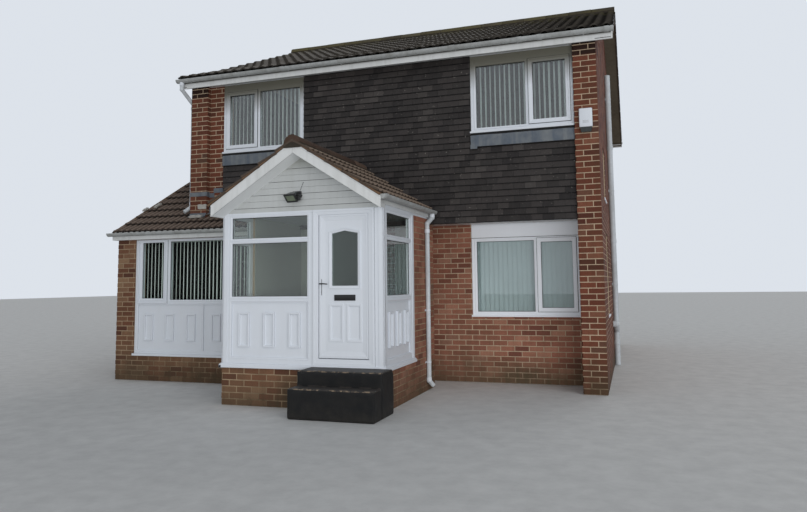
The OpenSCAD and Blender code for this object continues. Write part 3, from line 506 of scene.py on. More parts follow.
# inside, the floors take a darker painted shade
concrete = paintedMaterial("concrete", (150, 146, 138), (110, 106, 98), 0.9, 0.2, 40.0, 0.3,
                           rooms=[(low, high, (40, 36, 32)) for low, high, tone in rooms[:5]])
plasticLook = {"roughness": 0.32, "specular": 0.5, "grainScale": 6.0, "bump": 0.02, "clouds": 0.02,
               "runs": 0.04, "grimeScale": 1.2, "fleck": (0.99, 1.005)}
# painted shadow of the eaves, with dirt, darkens the upper window heads upwards
plasticWhite = paintedMaterial("plasticWhite", (214, 219, 226), (182, 184, 182),
                               eaves=(4.52, 4.90, (88, 85, 70)), **plasticLook)
# a lighter copy of the white plastic for the window under the jetty: painted light that lifts its shade
recessWhitePaintedLight = paintedMaterial("recessWhitePaintedLight", (238, 242, 248), (206, 208, 206), **plasticLook)
boardLook = {"roughness": 0.4, "specular": 0.4, "grainScale": 6.0, "bump": 0.02, "fleck": (0.98, 1.01)}
# painted shadow of the gutter, with dirt, along the top of the fascia
fasciaWhite = paintedMaterial("fasciaWhite", (214, 216, 216), (142, 142, 136), clouds=0.12, runs=0.2,
                              eaves=(5.090, 5.116, (52, 46, 36)), **boardLook)
vergeWhite = paintedMaterial("vergeWhite", (214, 216, 216), (142, 142, 136), clouds=0.12, runs=0.2,
                             **boardLook)
# darker towards the top of the boards, under the porch's verge
boardWhite = paintedMaterial("boardWhite", (186, 189, 189), (136, 138, 126), clouds=0.1, runs=0.12,
                             eaves=(3.06, 3.42, (112, 112, 92)), **boardLook)
soffitWhite = paintedMaterial("soffitWhite", (238, 240, 240), (200, 200, 196), 0.5, 0.3, 6.0, 0.02,
                              clouds=0.1, runs=0.0, fleck=(0.98, 1.01))
gutterGrey = paintedMaterial("gutterGrey", (168, 171, 171), (100, 98, 90), 0.45, 0.4, 25.0, 0.05,
                             clouds=0.4, runs=0.3, grimeScale=3.0)
pipeGrey = paintedMaterial("pipeGrey", (204, 210, 215), (140, 140, 136), 0.45, 0.4, 25.0, 0.05,
                           clouds=0.3, runs=0.3, grimeScale=3.0)
leadGrey = paintedMaterial("leadGrey", (86, 94, 104), (138, 140, 138), 0.6, 0.4, 14.0, 0.5,
                           clouds=0.35, runs=0.4, grimeScale=5.0)
blackPaint = paintedMaterial("blackPaint", (34, 34, 35), (98, 92, 84), 0.55, 0.4, 30.0, 0.6,
                             clouds=0.35, runs=0.15, splash=0.35, splashHeight=0.2, grimeScale=6.0)
blackMetal = paintedMaterial("blackMetal", (24, 24, 25), (70, 68, 64), 0.35, 0.5, 60.0, 0.1,
                             clouds=0.1, runs=0.0)
timberBrown = paintedMaterial("timberBrown", (72, 58, 48), (42, 36, 30), 0.7, 0.3, 30.0, 0.5,
                              clouds=0.4, runs=0.5)
vergeBoard = paintedMaterial("vergeBoard", (108, 100, 86), (76, 68, 58), 0.75, 0.25, 30.0, 0.4,
                             clouds=0.5, runs=0.3)
mortarLook = {"roughness": 0.95, "specular": 0.1, "runs": 0.0}
vergeMortar = paintedMaterial("vergeMortar", (118, 94, 74), (76, 60, 50), grainScale=50.0, bump=0.9,
                              clouds=0.6, grimeScale=6.0, **mortarLook)
mossMortar = paintedMaterial("mossMortar", (66, 61, 54), (44, 41, 37), grainScale=40.0, bump=0.9,
                             clouds=0.7, grimeScale=6.0, **mortarLook)
paleMortar = paintedMaterial("paleMortar", (186, 184, 178), (130, 128, 122), grainScale=50.0, bump=0.8,
                             clouds=0.4, grimeScale=9.0, **mortarLook)
lampGlass = paintedMaterial("lampGlass", (112, 122, 102), (84, 92, 78), 0.12, 0.6, 12.0, 0.05,
                            clouds=0.5, runs=0.0, grimeScale=14.0)
smokedPlastic = paintedMaterial("smokedPlastic", (62, 66, 66), (40, 42, 42), 0.25, 0.5, 20.0, 0.05)
# dark glossy panes for the inner and rear doors: glass with the painted shade of the dim rooms behind
paneWithPaintedShade = paintedMaterial("paneWithPaintedShade", (70, 80, 84), (50, 58, 62), 0.08, 0.6, 4.0, 0.02, clouds=0.5)
gasketBlack = paintedMaterial("gasketBlack", (30, 31, 32), (60, 60, 58), 0.7, 0.2, 60.0, 0.1)
blindFabric = paintedMaterial("blindFabric", (232, 237, 236), (204, 210, 208), 0.85, 0.1, 250.0, 0.2,
                              clouds=0.2, runs=0.0)
shutFabric = paintedMaterial("shutFabric", (186, 196, 201), (166, 176, 180), 0.85, 0.1, 250.0, 0.2,
                             clouds=0.3, runs=0.1)


def makeStepPaint():
    # near-black paint, walked grey on top and chipped to pale concrete along the front edges
    material, tree, shader = startMaterial("stepPaint", 0.6, 0.35)
    stain = useGroup(tree, grime, Scale=7.0, Clouds=0.5, Runs=0.1, Splash=0.5, Splash_height=0.14)
    fine = useGroup(tree, grain, Scale=34.0)
    coarse = useGroup(tree, grain, Scale=16.0)
    shade = mixColour(tree, stain.outputs[0], (13, 13, 14), (34, 32, 29))
    parts = placeParts(tree)
    # height, front and back of each tread
    for top, front, back in ((0.537, -6.396, -5.9), (0.357, -6.646, -6.396)):
        above = mathNode(tree, "GREATER_THAN", parts["Z"], top - 0.012)
        below = mathNode(tree, "LESS_THAN", parts["Z"], top + 0.008)
        flat = mathNode(tree, "MULTIPLY", above, below)
        flat = mathNode(tree, "MULTIPLY", flat, mathNode(tree, "LESS_THAN", parts["Y"], back))
        worn = mathNode(tree, "MULTIPLY", coarse.outputs[0], 1.1, clamp=True)
        shade = mixColour(tree, mathNode(tree, "MULTIPLY", flat, worn), shade, (66, 61, 57))
        near = mathNode(tree, "LESS_THAN", parts["Y"], front + 0.034)
        chipped = mathNode(tree, "GREATER_THAN", coarse.outputs[0], 0.53)
        chipped = mathNode(tree, "MULTIPLY", chipped, mathNode(tree, "MULTIPLY", near, flat))
        shade = mixColour(tree, chipped, shade, (128, 112, 94))
    tree.links.new(shade, shader.inputs["Base Color"])
    addBump(tree, shader, fine.outputs[0], 0.6, 0.003)
    return material


stepPaint = makeStepPaint()


cellEdge = 0.05
cellPart = 0.9


def tileMaterial(name, stops, panShade, worn, moss, seed, mossAt, side=-0.5):
    # roof tiles: worn pale with a painted highlight along the rolls, painted shade in the pans and under each
    # row's foot, moss in patches near the ridge
    material, tree, shader, shade, cell = cellMaterial(
        name, stops, (40, 35, 31), seed, clouds=0.35, runs=0.0, splash=0.0, bump=0.9)
    # two rolls across each tile, whose UV runs from 0.05 over a width of 0.9
    turn = 4 * math.pi / cellPart
    swing = mathNode(tree, "MULTIPLY", cell.outputs["Along"], turn)
    swing = mathNode(tree, "SUBTRACT", swing, turn * cellEdge)
    crown = mathNode(tree, "MULTIPLY_ADD", mathNode(tree, "COSINE", swing, 0.0), side, 0.5)
    fine = useGroup(tree, grain, Scale=38.0)
    # wear with a painted highlight, pale along the crowns of the rolls
    wearAndHighlight = mathNode(tree, "MULTIPLY", crown, fine.outputs[0])
    wearAndHighlight = mathNode(tree, "MULTIPLY", wearAndHighlight, 1.6, clamp=True)
    shade = mixColour(tree, wearAndHighlight, shade, worn)
    # painted shade in the pans between the rolls
    low = mathNode(tree, "SUBTRACT", 0.56, crown)
    low = mathNode(tree, "MULTIPLY", low, 1.8, clamp=True)
    shade = mixColour(tree, low, shade, panShade)
    # painted shadow at each tile's head under the row above, and on the end faces that look down
    head = mathNode(tree, "SUBTRACT", cell.outputs["Up"], 0.80)
    head = mathNode(tree, "MULTIPLY", head, 6.0, clamp=True)
    facing = node(tree, "SeparateXYZ")
    tree.links.new(node(tree, "NewGeometry").outputs["True Normal"], facing.inputs[0])
    ends = mathNode(tree, "MULTIPLY", mathNode(tree, "LESS_THAN", facing.outputs["Z"], 0.1), 0.7)
    rows = mathNode(tree, "MAXIMUM", mathNode(tree, "MULTIPLY", head, 0.85), ends)
    shade = mixColour(tree, rows, shade, panShade)
    patches = useGroup(tree, grain, Scale=7.0)
    high = mathNode(tree, "SUBTRACT", placeParts(tree)["Z"], mossAt)
    high = mathNode(tree, "MULTIPLY", high, 1.4, clamp=True)
    mossy = mathNode(tree, "GREATER_THAN", patches.outputs[0], 0.5)
    mossy = mathNode(tree, "MULTIPLY", mossy, high)
    mossy = mathNode(tree, "MULTIPLY", mossy, 0.6)
    shade = mixColour(tree, mossy, shade, moss)
    tree.links.new(shade, shader.inputs["Base Color"])
    return material


roofTileDark = tileMaterial("roofTileDark", [
    (0.0, (54, 50, 46)), (0.5, (62, 57, 52)), (1.0, (70, 65, 59))],
    (30, 28, 26), (124, 118, 110), (92, 88, 58), 3.0, 6.45)
roofTileBrown = tileMaterial("roofTileBrown", [
    (0.0, (52, 42, 38)), (0.5, (62, 50, 44)), (1.0, (74, 60, 53))],
    (24, 20, 19), (140, 124, 112), (96, 92, 62), 4.0, 9.0)
roofTilePorch = tileMaterial("roofTilePorch", [
    (0.0, (76, 62, 54)), (0.5, (90, 74, 64)), (1.0, (104, 88, 76))],
    (34, 28, 25), (140, 124, 110), (96, 92, 62), 4.0, 9.0, 0.5)
ridgeDark = cellMaterial("ridgeDark", [(0.0, (66, 60, 52)), (0.5, (82, 76, 64)), (1.0, (98, 92, 76))],
                         (104, 98, 64), 6.0, clouds=0.8, runs=0.0, splash=0.0, bump=0.9)[0]
ridgeBrown = cellMaterial("ridgeBrown", [(0.0, (70, 55, 47)), (0.5, (86, 69, 59)), (1.0, (102, 84, 72))],
                          (54, 47, 41), 7.0, clouds=0.5, runs=0.0, splash=0.0, bump=0.9)[0]
hungTile = cellMaterial("hungTile", [
    (0.0, (35, 32, 32)), (0.35, (47, 44, 43)), (0.8, (56, 52, 51)), (0.95, (63, 59, 57)),
    (1.0, (70, 66, 64))], (60, 56, 53), 5.0, roughness=0.7, clouds=0.25, runs=0.2, splash=0.0,
    specular=0.3, lapShadow=1.0)[0]


def glassMaterial(name, tint, roughness, bumpScale=0.0, bends=1.6):
    # clear or obscured glass that lets daylight through in shadow rays
    material, tree, shader = startMaterial(name, roughness, 0.5)
    shader.inputs["Base Color"].default_value = tint
    shader.inputs["Transmission Weight"].default_value = 1.0
    shader.inputs["IOR"].default_value = bends
    if bumpScale:
        fine = useGroup(tree, grain, Scale=bumpScale)
        addBump(tree, shader, fine.outputs[0], 0.6, 0.004)
    path = node(tree, "LightPath")
    clear = node(tree, "BsdfTransparent")
    clear.inputs[0].default_value = tint
    blend = node(tree, "MixShader")
    tree.links.new(path.outputs["Is Shadow Ray"], blend.inputs[0])
    tree.links.new(shader.outputs[0], blend.inputs[1])
    tree.links.new(clear.outputs[0], blend.inputs[2])
    tree.links.new(blend.outputs[0], tree.nodes["Material Output"].inputs[0])
    return material


clearGlass = glassMaterial("clearGlass", (0.86, 0.91, 0.89, 1.0), 0.0, bends=1.75)
hedgeGlass = glassMaterial("hedgeGlass", (0.84, 0.88, 0.85, 1.0), 0.0, bends=1.12)
porchGlass = glassMaterial("porchGlass", (0.84, 0.88, 0.85, 1.0), 0.0)
obscureGlass = glassMaterial("obscureGlass", (0.67, 0.73, 0.69, 1.0), 0.35, 45.0)
print("materials made")

# Brickwork: the walls of the frame show as mortar, and each brick stands a little proud of them

brickwork = {
    "course": 0.0825,      # height of a brick with its joint
    "pitch": 0.225,        # length of a brick with its joint
    "joint": 0.0125,
    "proud": 0.003,        # how far the face stands out of the mortar
    "uneven": 0.0008,
    "sideways": 0.0012,
    "twist": 0.006,
    "depth": 0.010,
    "chamfer": 0.0015,
}
turns = {"-Y": 0.0, "+X": 90.0, "+Y": 180.0, "-X": -90.0}


def cellUv(obj, width, height, upAxis):
    # the place in one cell, kept clear of the whole numbers at its edges
    for polygon in obj.data.polygons:
        for loop in polygon.loop_indices:
            place = obj.data.vertices[obj.data.loops[loop].vertex_index].co
            across = min(max(place.x / width, 0.0), 1.0)
            upward = min(max(place[upAxis] / height, 0.0), 1.0)
            obj.data.uv_layers[0].data[loop].uv = (cellEdge + cellPart * across,
                                                   cellEdge + cellPart * upward)


def repeated(obj, columns, rows, stepX, stepUp, firstV=0.0, everyV=1.0):
    # columns along X and rows up; each copy's UV moves on by whole numbers
    if firstV:
        for loop in obj.data.uv_layers[0].data:
            loop.uv = (loop.uv[0], loop.uv[1] + firstV)
    rowOf(obj, columns, stepX, 1.0, 0.0)
    rowOf(obj, rows, stepUp, 0.0, everyV)
    return obj


def unsettle(obj, perCell, seed, outward, sideways, turn):
    # each brick or tile a little out of line, as laid by hand
    dice = random.Random(seed)
    points = obj.data.vertices
    for first in range(0, len(points), perCell):
        cell = points[first:first + perCell]
        middle = sum((point.co for point in cell), Vector()) / perCell
        move = Vector((dice.uniform(-sideways, sideways), dice.uniform(-outward, outward),
                       dice.uniform(-sideways, sideways)))
        spin = Matrix.Rotation(dice.uniform(-turn, turn), 3, "Y")
        for point in cell:
            point.co = middle + move + spin @ (point.co - middle)
    return obj


def brickField(name, start, facing, length, height, material, wall, kept=None, seed=1):
    # bricks over a whole face, cut to the outline and openings of their wall and to the box kept
    size = brickwork
    pitch = size["pitch"]
    course = size["course"]
    joint = size["joint"]
    columns = int(length / pitch) + 2
    pairs = int(height / course / 2) + 1
    fields = []
    for odd in (0, 1):
        front = size["chamfer"] - size["proud"]
        cell = block(name, (0, front, 0), (pitch - joint, size["depth"] - size["proud"], course - joint))
        pickFaces(cell, lambda centre, normal: normal.y < -0.9)
        bpy.ops.mesh.inset(thickness=size["chamfer"], depth=size["chamfer"], use_even_offset=True)
        objectMode()
        cellUv(cell, pitch - joint, course - joint, 2)
        perCell = len(cell.data.vertices)
        repeated(cell, columns, pairs, (pitch, 0, 0), (0, 0, 2 * course), odd, 2.0)
        unsettle(cell, perCell, seed + odd, size["uneven"], size["sideways"], size["twist"])
        fields.append(shift(cell, (joint / 2 - pitch / 2 * odd, 0, course * odd + joint / 2)))
    field = joined(name, fields)
    field.rotation_euler = (0, 0, math.radians(turns[facing]))
    field.location = start
    settle(field)
    boolean(field, copyNode(wall, "cutter", size["proud"] + 0.002), "INTERSECT")
    if kept:
        boolean(field, block("cutter", *kept), "INTERSECT")
    return finishPiece(field, material)


def faces(node, *wanted):
    # faces of a node's box, each asked for by its axis and its low or high side
    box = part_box(node)
    return [box[int(face[1])]["xyz".index(face[0])] for face in wanted]


far = 20.0
rightInX, rightX, frontY, rearY, gableTop = faces("right_gable_wall", "x0", "x1", "y0", "y1", "z1")
leftX, leftInX = faces("left_gable_wall", "x0", "x1")
hallX, recessY = faces("front_wall_ground", "x0", "y0")
nibX, tileY, soffitZ = faces("tile_hanging", "x0", "y0", "z1")
porchLeftX, porchRightX, porchY = faces("porch_plinth", "x0", "x1", "y0")
extLeftX, extY = faces("extension_front_wall", "x0", "y0")
[upperY] = faces("front_wall_upper", "y0")
[firstFloorZ] = faces("first_floor", "z0")
[extRearY] = faces("extension_rear_wall", "y1")
[extTop] = faces("extension_side_wall", "z1")
wide = rightX - rightInX
deep = rearY - frontY


def faceSlice(x, y0, y1=far, z0=-1, z1=far):
    # a thin box round one face that looks sideways
    return (x - 0.1, y0, z0), (x + 0.1, y1, z1)


# name, x and y of the left foot seen from outside, facing, length, height, bricks, wall, box kept
brickFaces = [
    ("right_pier", rightInX, frontY, "-Y", wide, gableTop, brickRed, "right_gable_wall", None),
    ("right_gable", rightX, frontY, "+X", deep, gableTop, brickRed, "right_gable_wall",
     faceSlice(rightX, frontY, rearY)),
    ("right_return", rightInX, recessY, "-X", recessY - frontY, gableTop, brickRed, "right_gable_wall",
     faceSlice(rightInX, frontY, recessY, -1, soffitZ)),
    ("left_pier", leftX, frontY, "-Y", wide, gableTop, brickRed, "left_gable_wall",
     ((leftX, frontY - 1, 2.5), (leftInX, frontY + 1, far))),
    ("left_return", leftInX, frontY, "+X", 0.2, gableTop, brickRed, "left_gable_wall",
     faceSlice(leftInX, frontY, upperY, 2.6, soffitZ)),
    ("left_gable", leftX, rearY, "-X", deep, gableTop, brickRed, "left_gable_wall",
     faceSlice(leftX, frontY, rearY)),
    ("nib", leftInX, upperY, "-Y", nibX - leftInX, gableTop, brickRed, "front_wall_upper",
     ((leftInX, upperY - 1, 2.6), (nibX, upperY + 1, far))),
    ("rear", rightX, rearY, "+Y", rightX - leftX, gableTop, brickRed, "rear_wall", None),
    ("right_end", rightX, rearY, "+Y", wide, gableTop, brickRed, "right_gable_wall", None),
    ("left_end", leftInX, rearY, "+Y", wide, gableTop, brickRed, "left_gable_wall", None),
    ("recess", hallX, recessY, "-Y", rightInX - hallX, firstFloorZ, brickPaintedLight, "front_wall_ground", None),
    ("porch_side", porchRightX, porchY, "+X", 2.2, firstFloorZ, brickPaintedLight, "porch_right_wall",
     faceSlice(porchRightX, porchY)),
    ("hall", porchLeftX, upperY, "-Y", hallX - porchLeftX, firstFloorZ, brickRed, "hall_wall",
     ((-0.10, upperY - 1, 0.53), (0.29, upperY + 1, 2.54))),
    ("hall_side", hallX, upperY, "+X", 1.0, firstFloorZ, brickPaintedLight, "hall_wall",
     faceSlice(hallX, upperY, recessY, -1, firstFloorZ)),
    ("plinth_front", porchLeftX, porchY, "-Y", porchRightX - porchLeftX, 0.6, brickTan, "porch_plinth", None),
    ("plinth_right", porchRightX, porchY, "+X", 2.1, 0.6, brickPaintedLight, "porch_plinth",
     faceSlice(porchRightX, porchY)),
    ("plinth_left", porchLeftX, extY, "-X", extY - porchY, 0.6, brickTan, "porch_plinth",
     faceSlice(porchLeftX, porchY, extY)),
    ("porch_left", porchLeftX, extY, "-X", 1.2, firstFloorZ, brickTan, "porch_left_wall",
     faceSlice(porchLeftX, porchY, extY)),
    ("extension_front", extLeftX, extY, "-Y", porchLeftX - extLeftX, 3.0, brickTan, "extension_front_wall",
     ((extLeftX - 0.1, extY - 1, -1), (porchLeftX, extY + 0.01, 2.38))),
    ("extension_gable", extLeftX, extRearY, "-X", extRearY - extY, extTop, brickTan, "extension_side_wall",
     None),
    ("extension_end", extLeftX, extRearY, "-X", extRearY - extY, extTop, brickTan, "extension_front_wall",
     faceSlice(extLeftX, extY)),
    ("extension_corner", extLeftX, extRearY, "-X", 0.3, extTop, brickTan, "extension_rear_wall",
     faceSlice(extLeftX, -far, extRearY)),
    ("extension_rear", leftX, extRearY, "+Y", leftX - extLeftX, extTop, brickTan, "extension_rear_wall",
     None),
]
for name, x, y, facing, length, height, material, wall, kept in brickFaces:
    field = brickField(name + "_bricks", (x, y, 0), facing, length, height, material, wall, kept)
    if name == "left_gable":
        # the extension hides the lower part
        boolean(field, block("cutter", (leftX - 0.1, frontY - 0.1, -1), (leftX + 0.1, extRearY, 2.55)))
print("brickwork laid")

# Tile hanging: rows of plain tiles that lap like shingles, cut to the hung wall's outline

hung = {
    "width": 0.165,
    "gauge": 0.0955,
    "gap": 0.003,
    "step": 0.013,         # how far each row's foot stands ahead of the row below
    "foot": 0.0025,        # rounding of the tile's front foot edge
}


def hangTiles():
    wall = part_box("tile_hanging")
    width = hung["width"]
    gauge = hung["gauge"]
    front = wall[0][1] + 0.002
    back = wall[1][1] - 0.018
    columns = int((wall[1][0] - wall[0][0]) / width) + 2
    rows = int((wall[1][2] - wall[0][2]) / gauge / 2) + 1
    fields = []
    for odd in (0, 1):
        tile = block("hung_tiles", (0, 0, 0), (width - hung["gap"], back - front, gauge - 0.0006))
        editMode(tile, False)
        objectMode()
        for point in tile.data.vertices:
            if point.co.y < 0.001 and point.co.z > gauge / 2:
                point.co.y += hung["step"]
        pickFaces(tile, lambda centre, normal: normal.z < -0.9)
        bpy.ops.mesh.bevel(offset=hung["foot"], segments=1, affect="EDGES")
        objectMode()
        cellUv(tile, width - hung["gap"], gauge, 2)
        perCell = len(tile.data.vertices)
        repeated(tile, columns, rows, (width, 0, 0), (0, 0, 2 * gauge), odd, 2.0)
        unsettle(tile, perCell, 40 + odd, 0.0012, 0.0008, 0.009)
        fields.append(shift(tile, (wall[0][0] - width / 2 * odd, front, wall[0][2] + gauge * odd)))
    field = joined("hung_tiles", fields)
    boolean(field, copyNode("tile_hanging", "cutter", 0.0), "INTERSECT")
    finishPiece(field, hungTile, stands=("tile_hanging",))
    backing = copyNode("tile_hanging", "hung_tile_battens", -0.016)
    finishPiece(backing, gasketBlack, stands=("tile_hanging",))


hangTiles()
print("tiles hung")

# Roofs: interlocking tiles with two rolls each, laid in rows that step down to the eaves

roofing = {
    "roll": 0.034,         # height of the rolls
    "thick": 0.023,
    "step": 0.031,         # how far a row's foot stands above the row below
    "columns": 10,         # facets across one tile
    "under": 0.056,        # depth of the battens' top below the crown of the tiles
    "kickRun": 1.10,       # length over which the eaves tilt the tiles up
}


def tileSlope(name, span, length, columns, rows, pitch, corner, turn, material, trim=None, grow=0.004, seed=7,
              side=-0.5, kick=0.012):
    # the span runs along the eaves from the corner, and the length up the slope
    shape = roofing
    cover = span / columns
    gauge = length / rows
    rise = shape["roll"]
    tile = block(name, (0, 0, -shape["thick"]), (cover - 0.0015, gauge - 0.001, 0))
    pickEdges(tile, lambda first, last: abs(first.x - last.x) > cover / 2)
    bpy.ops.mesh.subdivide(number_cuts=shape["columns"] - 1)
    objectMode()
    for point in tile.data.vertices:
        wave = 0.5 + side * math.cos(4 * math.pi * point.co.x / cover)
        point.co.z += rise * wave ** 1.25 - rise - shape["step"] * point.co.y / gauge - 0.001
    cellUv(tile, cover, gauge, 1)
    perCell = len(tile.data.vertices)
    repeated(tile, columns, rows, (cover, 0, 0), (0, gauge, 0))
    tiltTiles(tile, perCell, seed)
    for point in tile.data.vertices:
        point.co.z += kick * max(0.0, 1 - max(point.co.y, 0.0) / shape["kickRun"])
    tile.rotation_euler = (math.radians(pitch), 0, math.radians(turn))
    tile.location = corner
    settle(tile)
    if trim:
        boolean(tile, copyNode(trim, "cutter", grow), "INTERSECT")
    smooth(tile, 40)
    return finishPiece(tile, material, stands=(trim,) if trim else ())


def tiltTiles(obj, perCell, seed):
    # each tile sits a little higher or lower on its battens
    dice = random.Random(seed)
    points = obj.data.vertices
    for first in range(0, len(points), perCell):
        lift = dice.uniform(-0.002, 0.0)
        slide = dice.uniform(-0.003, 0.003)
        for point in points[first:first + perCell]:
            point.co.z += lift
            point.co.y += slide
    return obj


def trimAt(obj, place, direction):
    # cuts off what lies beyond a plane and closes the cut
    editMode(obj)
    bpy.ops.mesh.bisect(plane_co=place, plane_no=direction, use_fill=True, clear_outer=True)
    objectMode()
    return obj


def underSlab(name, node, pitch, material, ends):
    # the boarding and battens below the tiles, lowered from the frame's own slope
    slab = copyNode(node, name)
    for place, direction in ends:
        trimAt(slab, place, direction)
    drop = roofing["under"] / cosine(pitch)
    steep = cosine(pitch) - 0.05
    tops = set()
    for face in slab.data.polygons:
        if face.normal.z > steep:
            tops.update(face.vertices)
    for index in tops:
        slab.data.vertices[index].co.z -= drop
    return finishPiece(slab, material, stands=(node,))


mainPitch = 24.0
extPitch = 29.0
porchPitch = 32.5
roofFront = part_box("front_roof_slope")
roofEnds = (roofFront[0][0] - 0.035, roofFront[1][0] + 0.033)
eavesY = roofFront[0][1]
ridgeZ = roofFront[1][2]
eavesZ = ridgeZ - abs(eavesY) * tangent(mainPitch)
mainLength = abs(eavesY) / cosine(mainPitch) - 0.012
mainSpan = roofEnds[1] - roofEnds[0]
tileSlope("front_roof_tiles", mainSpan, mainLength, 21, 14, mainPitch, (roofEnds[0], eavesY, eavesZ), 0,
          roofTileDark, kick=0.05)
tileSlope("rear_roof_tiles", mainSpan, mainLength, 21, 14, mainPitch, (roofEnds[1], -eavesY, eavesZ), 180,
          roofTileDark, seed=8, kick=0.05)
boardIn = 0.06
underSlab("front_roof_battens", "front_roof_slope", mainPitch, vergeBoard,
          [((0, eavesY + boardIn, 0), (0, -1, 0))])
underSlab("rear_roof_battens", "rear_roof_slope", mainPitch, vergeBoard,
          [((0, -eavesY - boardIn, 0), (0, 1, 0))])

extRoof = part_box("extension_roof")
extRidgeY = (extY + extRearY) / 2
extTipY = extRoof[0][1]
extRun = extRidgeY - extTipY
extRidgeZ = extRoof[1][2]
extEavesZ = extRidgeZ - extRun * tangent(extPitch)
extLength = extRun / cosine(extPitch) - 0.006
tileSlope("extension_front_tiles", 3.9, extLength, 17, 10, extPitch, (extRoof[0][0], extTipY, extEavesZ), 0,
          roofTileBrown, "extension_roof", 0.024, seed=9)
tileSlope("extension_rear_tiles", 1.376, extLength, 6, 10, extPitch,
          (leftX, 2 * extRidgeY - extTipY, extEavesZ), 180, roofTileBrown, "extension_roof", 0.024, seed=10)
underSlab("extension_roof_battens", "extension_roof", extPitch, timberBrown,
          [((0, extTipY + boardIn, 0), (0, -1, 0)), ((0, 2 * extRidgeY - extTipY - boardIn, 0), (0, 1, 0))])

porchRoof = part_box("porch_roof")
porchTip = (porchRoof[0][0], porchRoof[1][0])
porchRidgeZ = porchRoof[1][2]
porchMid = (porchTip[0] + porchTip[1]) / 2 + 0.03
porchRun = (porchMid - porchTip[0], porchTip[1] - porchMid)
porchSteep = tangent(porchPitch)
porchFrontY = porchRoof[0][1] - 0.045
porchSpan = porchRoof[1][1] - porchFrontY
for side, turn, name in ((0, -90, "porch_left_tiles"), (1, 90, "porch_right_tiles")):
    run = porchRun[side]
    corner = (porchTip[side], porchRoof[1][1] if side == 0 else porchFrontY, porchRidgeZ - run * porchSteep)
    tileSlope(name, porchSpan, run / cosine(porchPitch) - 0.006, 8, 5, porchPitch,
              corner, turn, roofTilePorch, seed=11 + side, side=0.5)
underSlab("porch_roof_battens", "porch_roof", porchPitch, timberBrown,
          [((porchLeftX, 0, 0), (-1, 0, 0)), ((porchRightX, 0, 0), (1, 0, 0))])
print("roofs tiled")

# The materials of the frame's own nodes, also of those that a piece stands for
plain = {
    mortarPale: ["right_gable_wall", "left_gable_wall", "rear_wall", "front_wall_upper", "front_wall_ground"],
    mortarTan: ["porch_right_wall", "porch_left_wall", "porch_plinth", "extension_front_wall",
                "extension_side_wall", "extension_rear_wall"],
    plaster: ["first_floor", "hall_wall"],
    concrete: ["ground_floor", "extension_floor", "porch_floor"],
    recessWhitePaintedLight: ["ground_front_window"],
    plasticWhite: ["upper_front_windows", "side_windows", "rear_windows", "rear_door",
                   "hall_door", "extension_window", "extension_panels", "porch_frame", "porch_panels",
                   "porch_ceiling", "door_leaf", "alarm_box"],
    gasketBlack: ["porch_gable_boards"],
    fasciaWhite: ["jetty_soffit", "eaves_boards"],
    timberBrown: ["barge_boards"],
    gutterGrey: ["gutters"],
    pipeGrey: ["downpipes", "soil_pipe"],
    leadGrey: ["lead_flashings"],
    roofTileDark: ["front_roof_slope", "rear_roof_slope", "ridge_tiles"],
    roofTileBrown: ["extension_roof", "porch_roof"],
    hungTile: ["tile_hanging"],
    blackPaint: ["upper_step", "lower_step"],
    blackMetal: ["floodlight", "door_furniture"],
    clearGlass: ["front_glass", "side_glass", "rear_glass"],
    hedgeGlass: ["extension_glass"],
    porchGlass: ["porch_glass"],
    obscureGlass: ["door_glass"],
}
for material, names in plain.items():
    for name in names:
        paint(nodes[name], material)

# Shapes in the plane of a window: x along it, z up, and y out towards the viewer is negative


def hollowOut(obj, width):
    # opens a flat block from front to back, with so much left round the hole
    pickFaces(obj, lambda centre, normal: abs(normal.y) > 0.9)
    bpy.ops.mesh.inset(thickness=width, use_individual=True)
    bpy.ops.mesh.bridge_edge_loops()
    objectMode()
    return obj


def ring(name, x0, x1, z0, z1, width, back, front, soften=0.002, slope=0.0):
    # a frame with an open middle; the inner front edge may lie further back
    obj = hollowOut(block(name, (x0, front, z0), (x1, back, z1)), width)
    if slope:
        half = width / 2
        for point in obj.data.vertices:
            inner = x0 + half < point.co.x < x1 - half and z0 + half < point.co.z < z1 - half
            if inner and point.co.y < front + 0.0001:
                point.co.y += slope
    if soften:
        roundEdges(obj, soften, 2, 20)
    return obj


def around(name, light, out, width, back, front, soften=0.002, slope=0.0):
    # a ring round a light, its outer edge so far beyond the light's own
    x0, x1, z0, z1 = light
    return ring(name, x0 - out, x1 + out, z0 - out, z1 + out, width, back, front, soften, slope)


def place(obj, origin, turn=0):
    obj.rotation_euler = (0, 0, math.radians(turn))
    obj.location = origin
    settle(obj)
    return obj


def fitted(name, parts, origin, turn, material, body="house", stands=()):
    return finishPiece(place(joined(name, parts), origin, turn), material, body, stands)


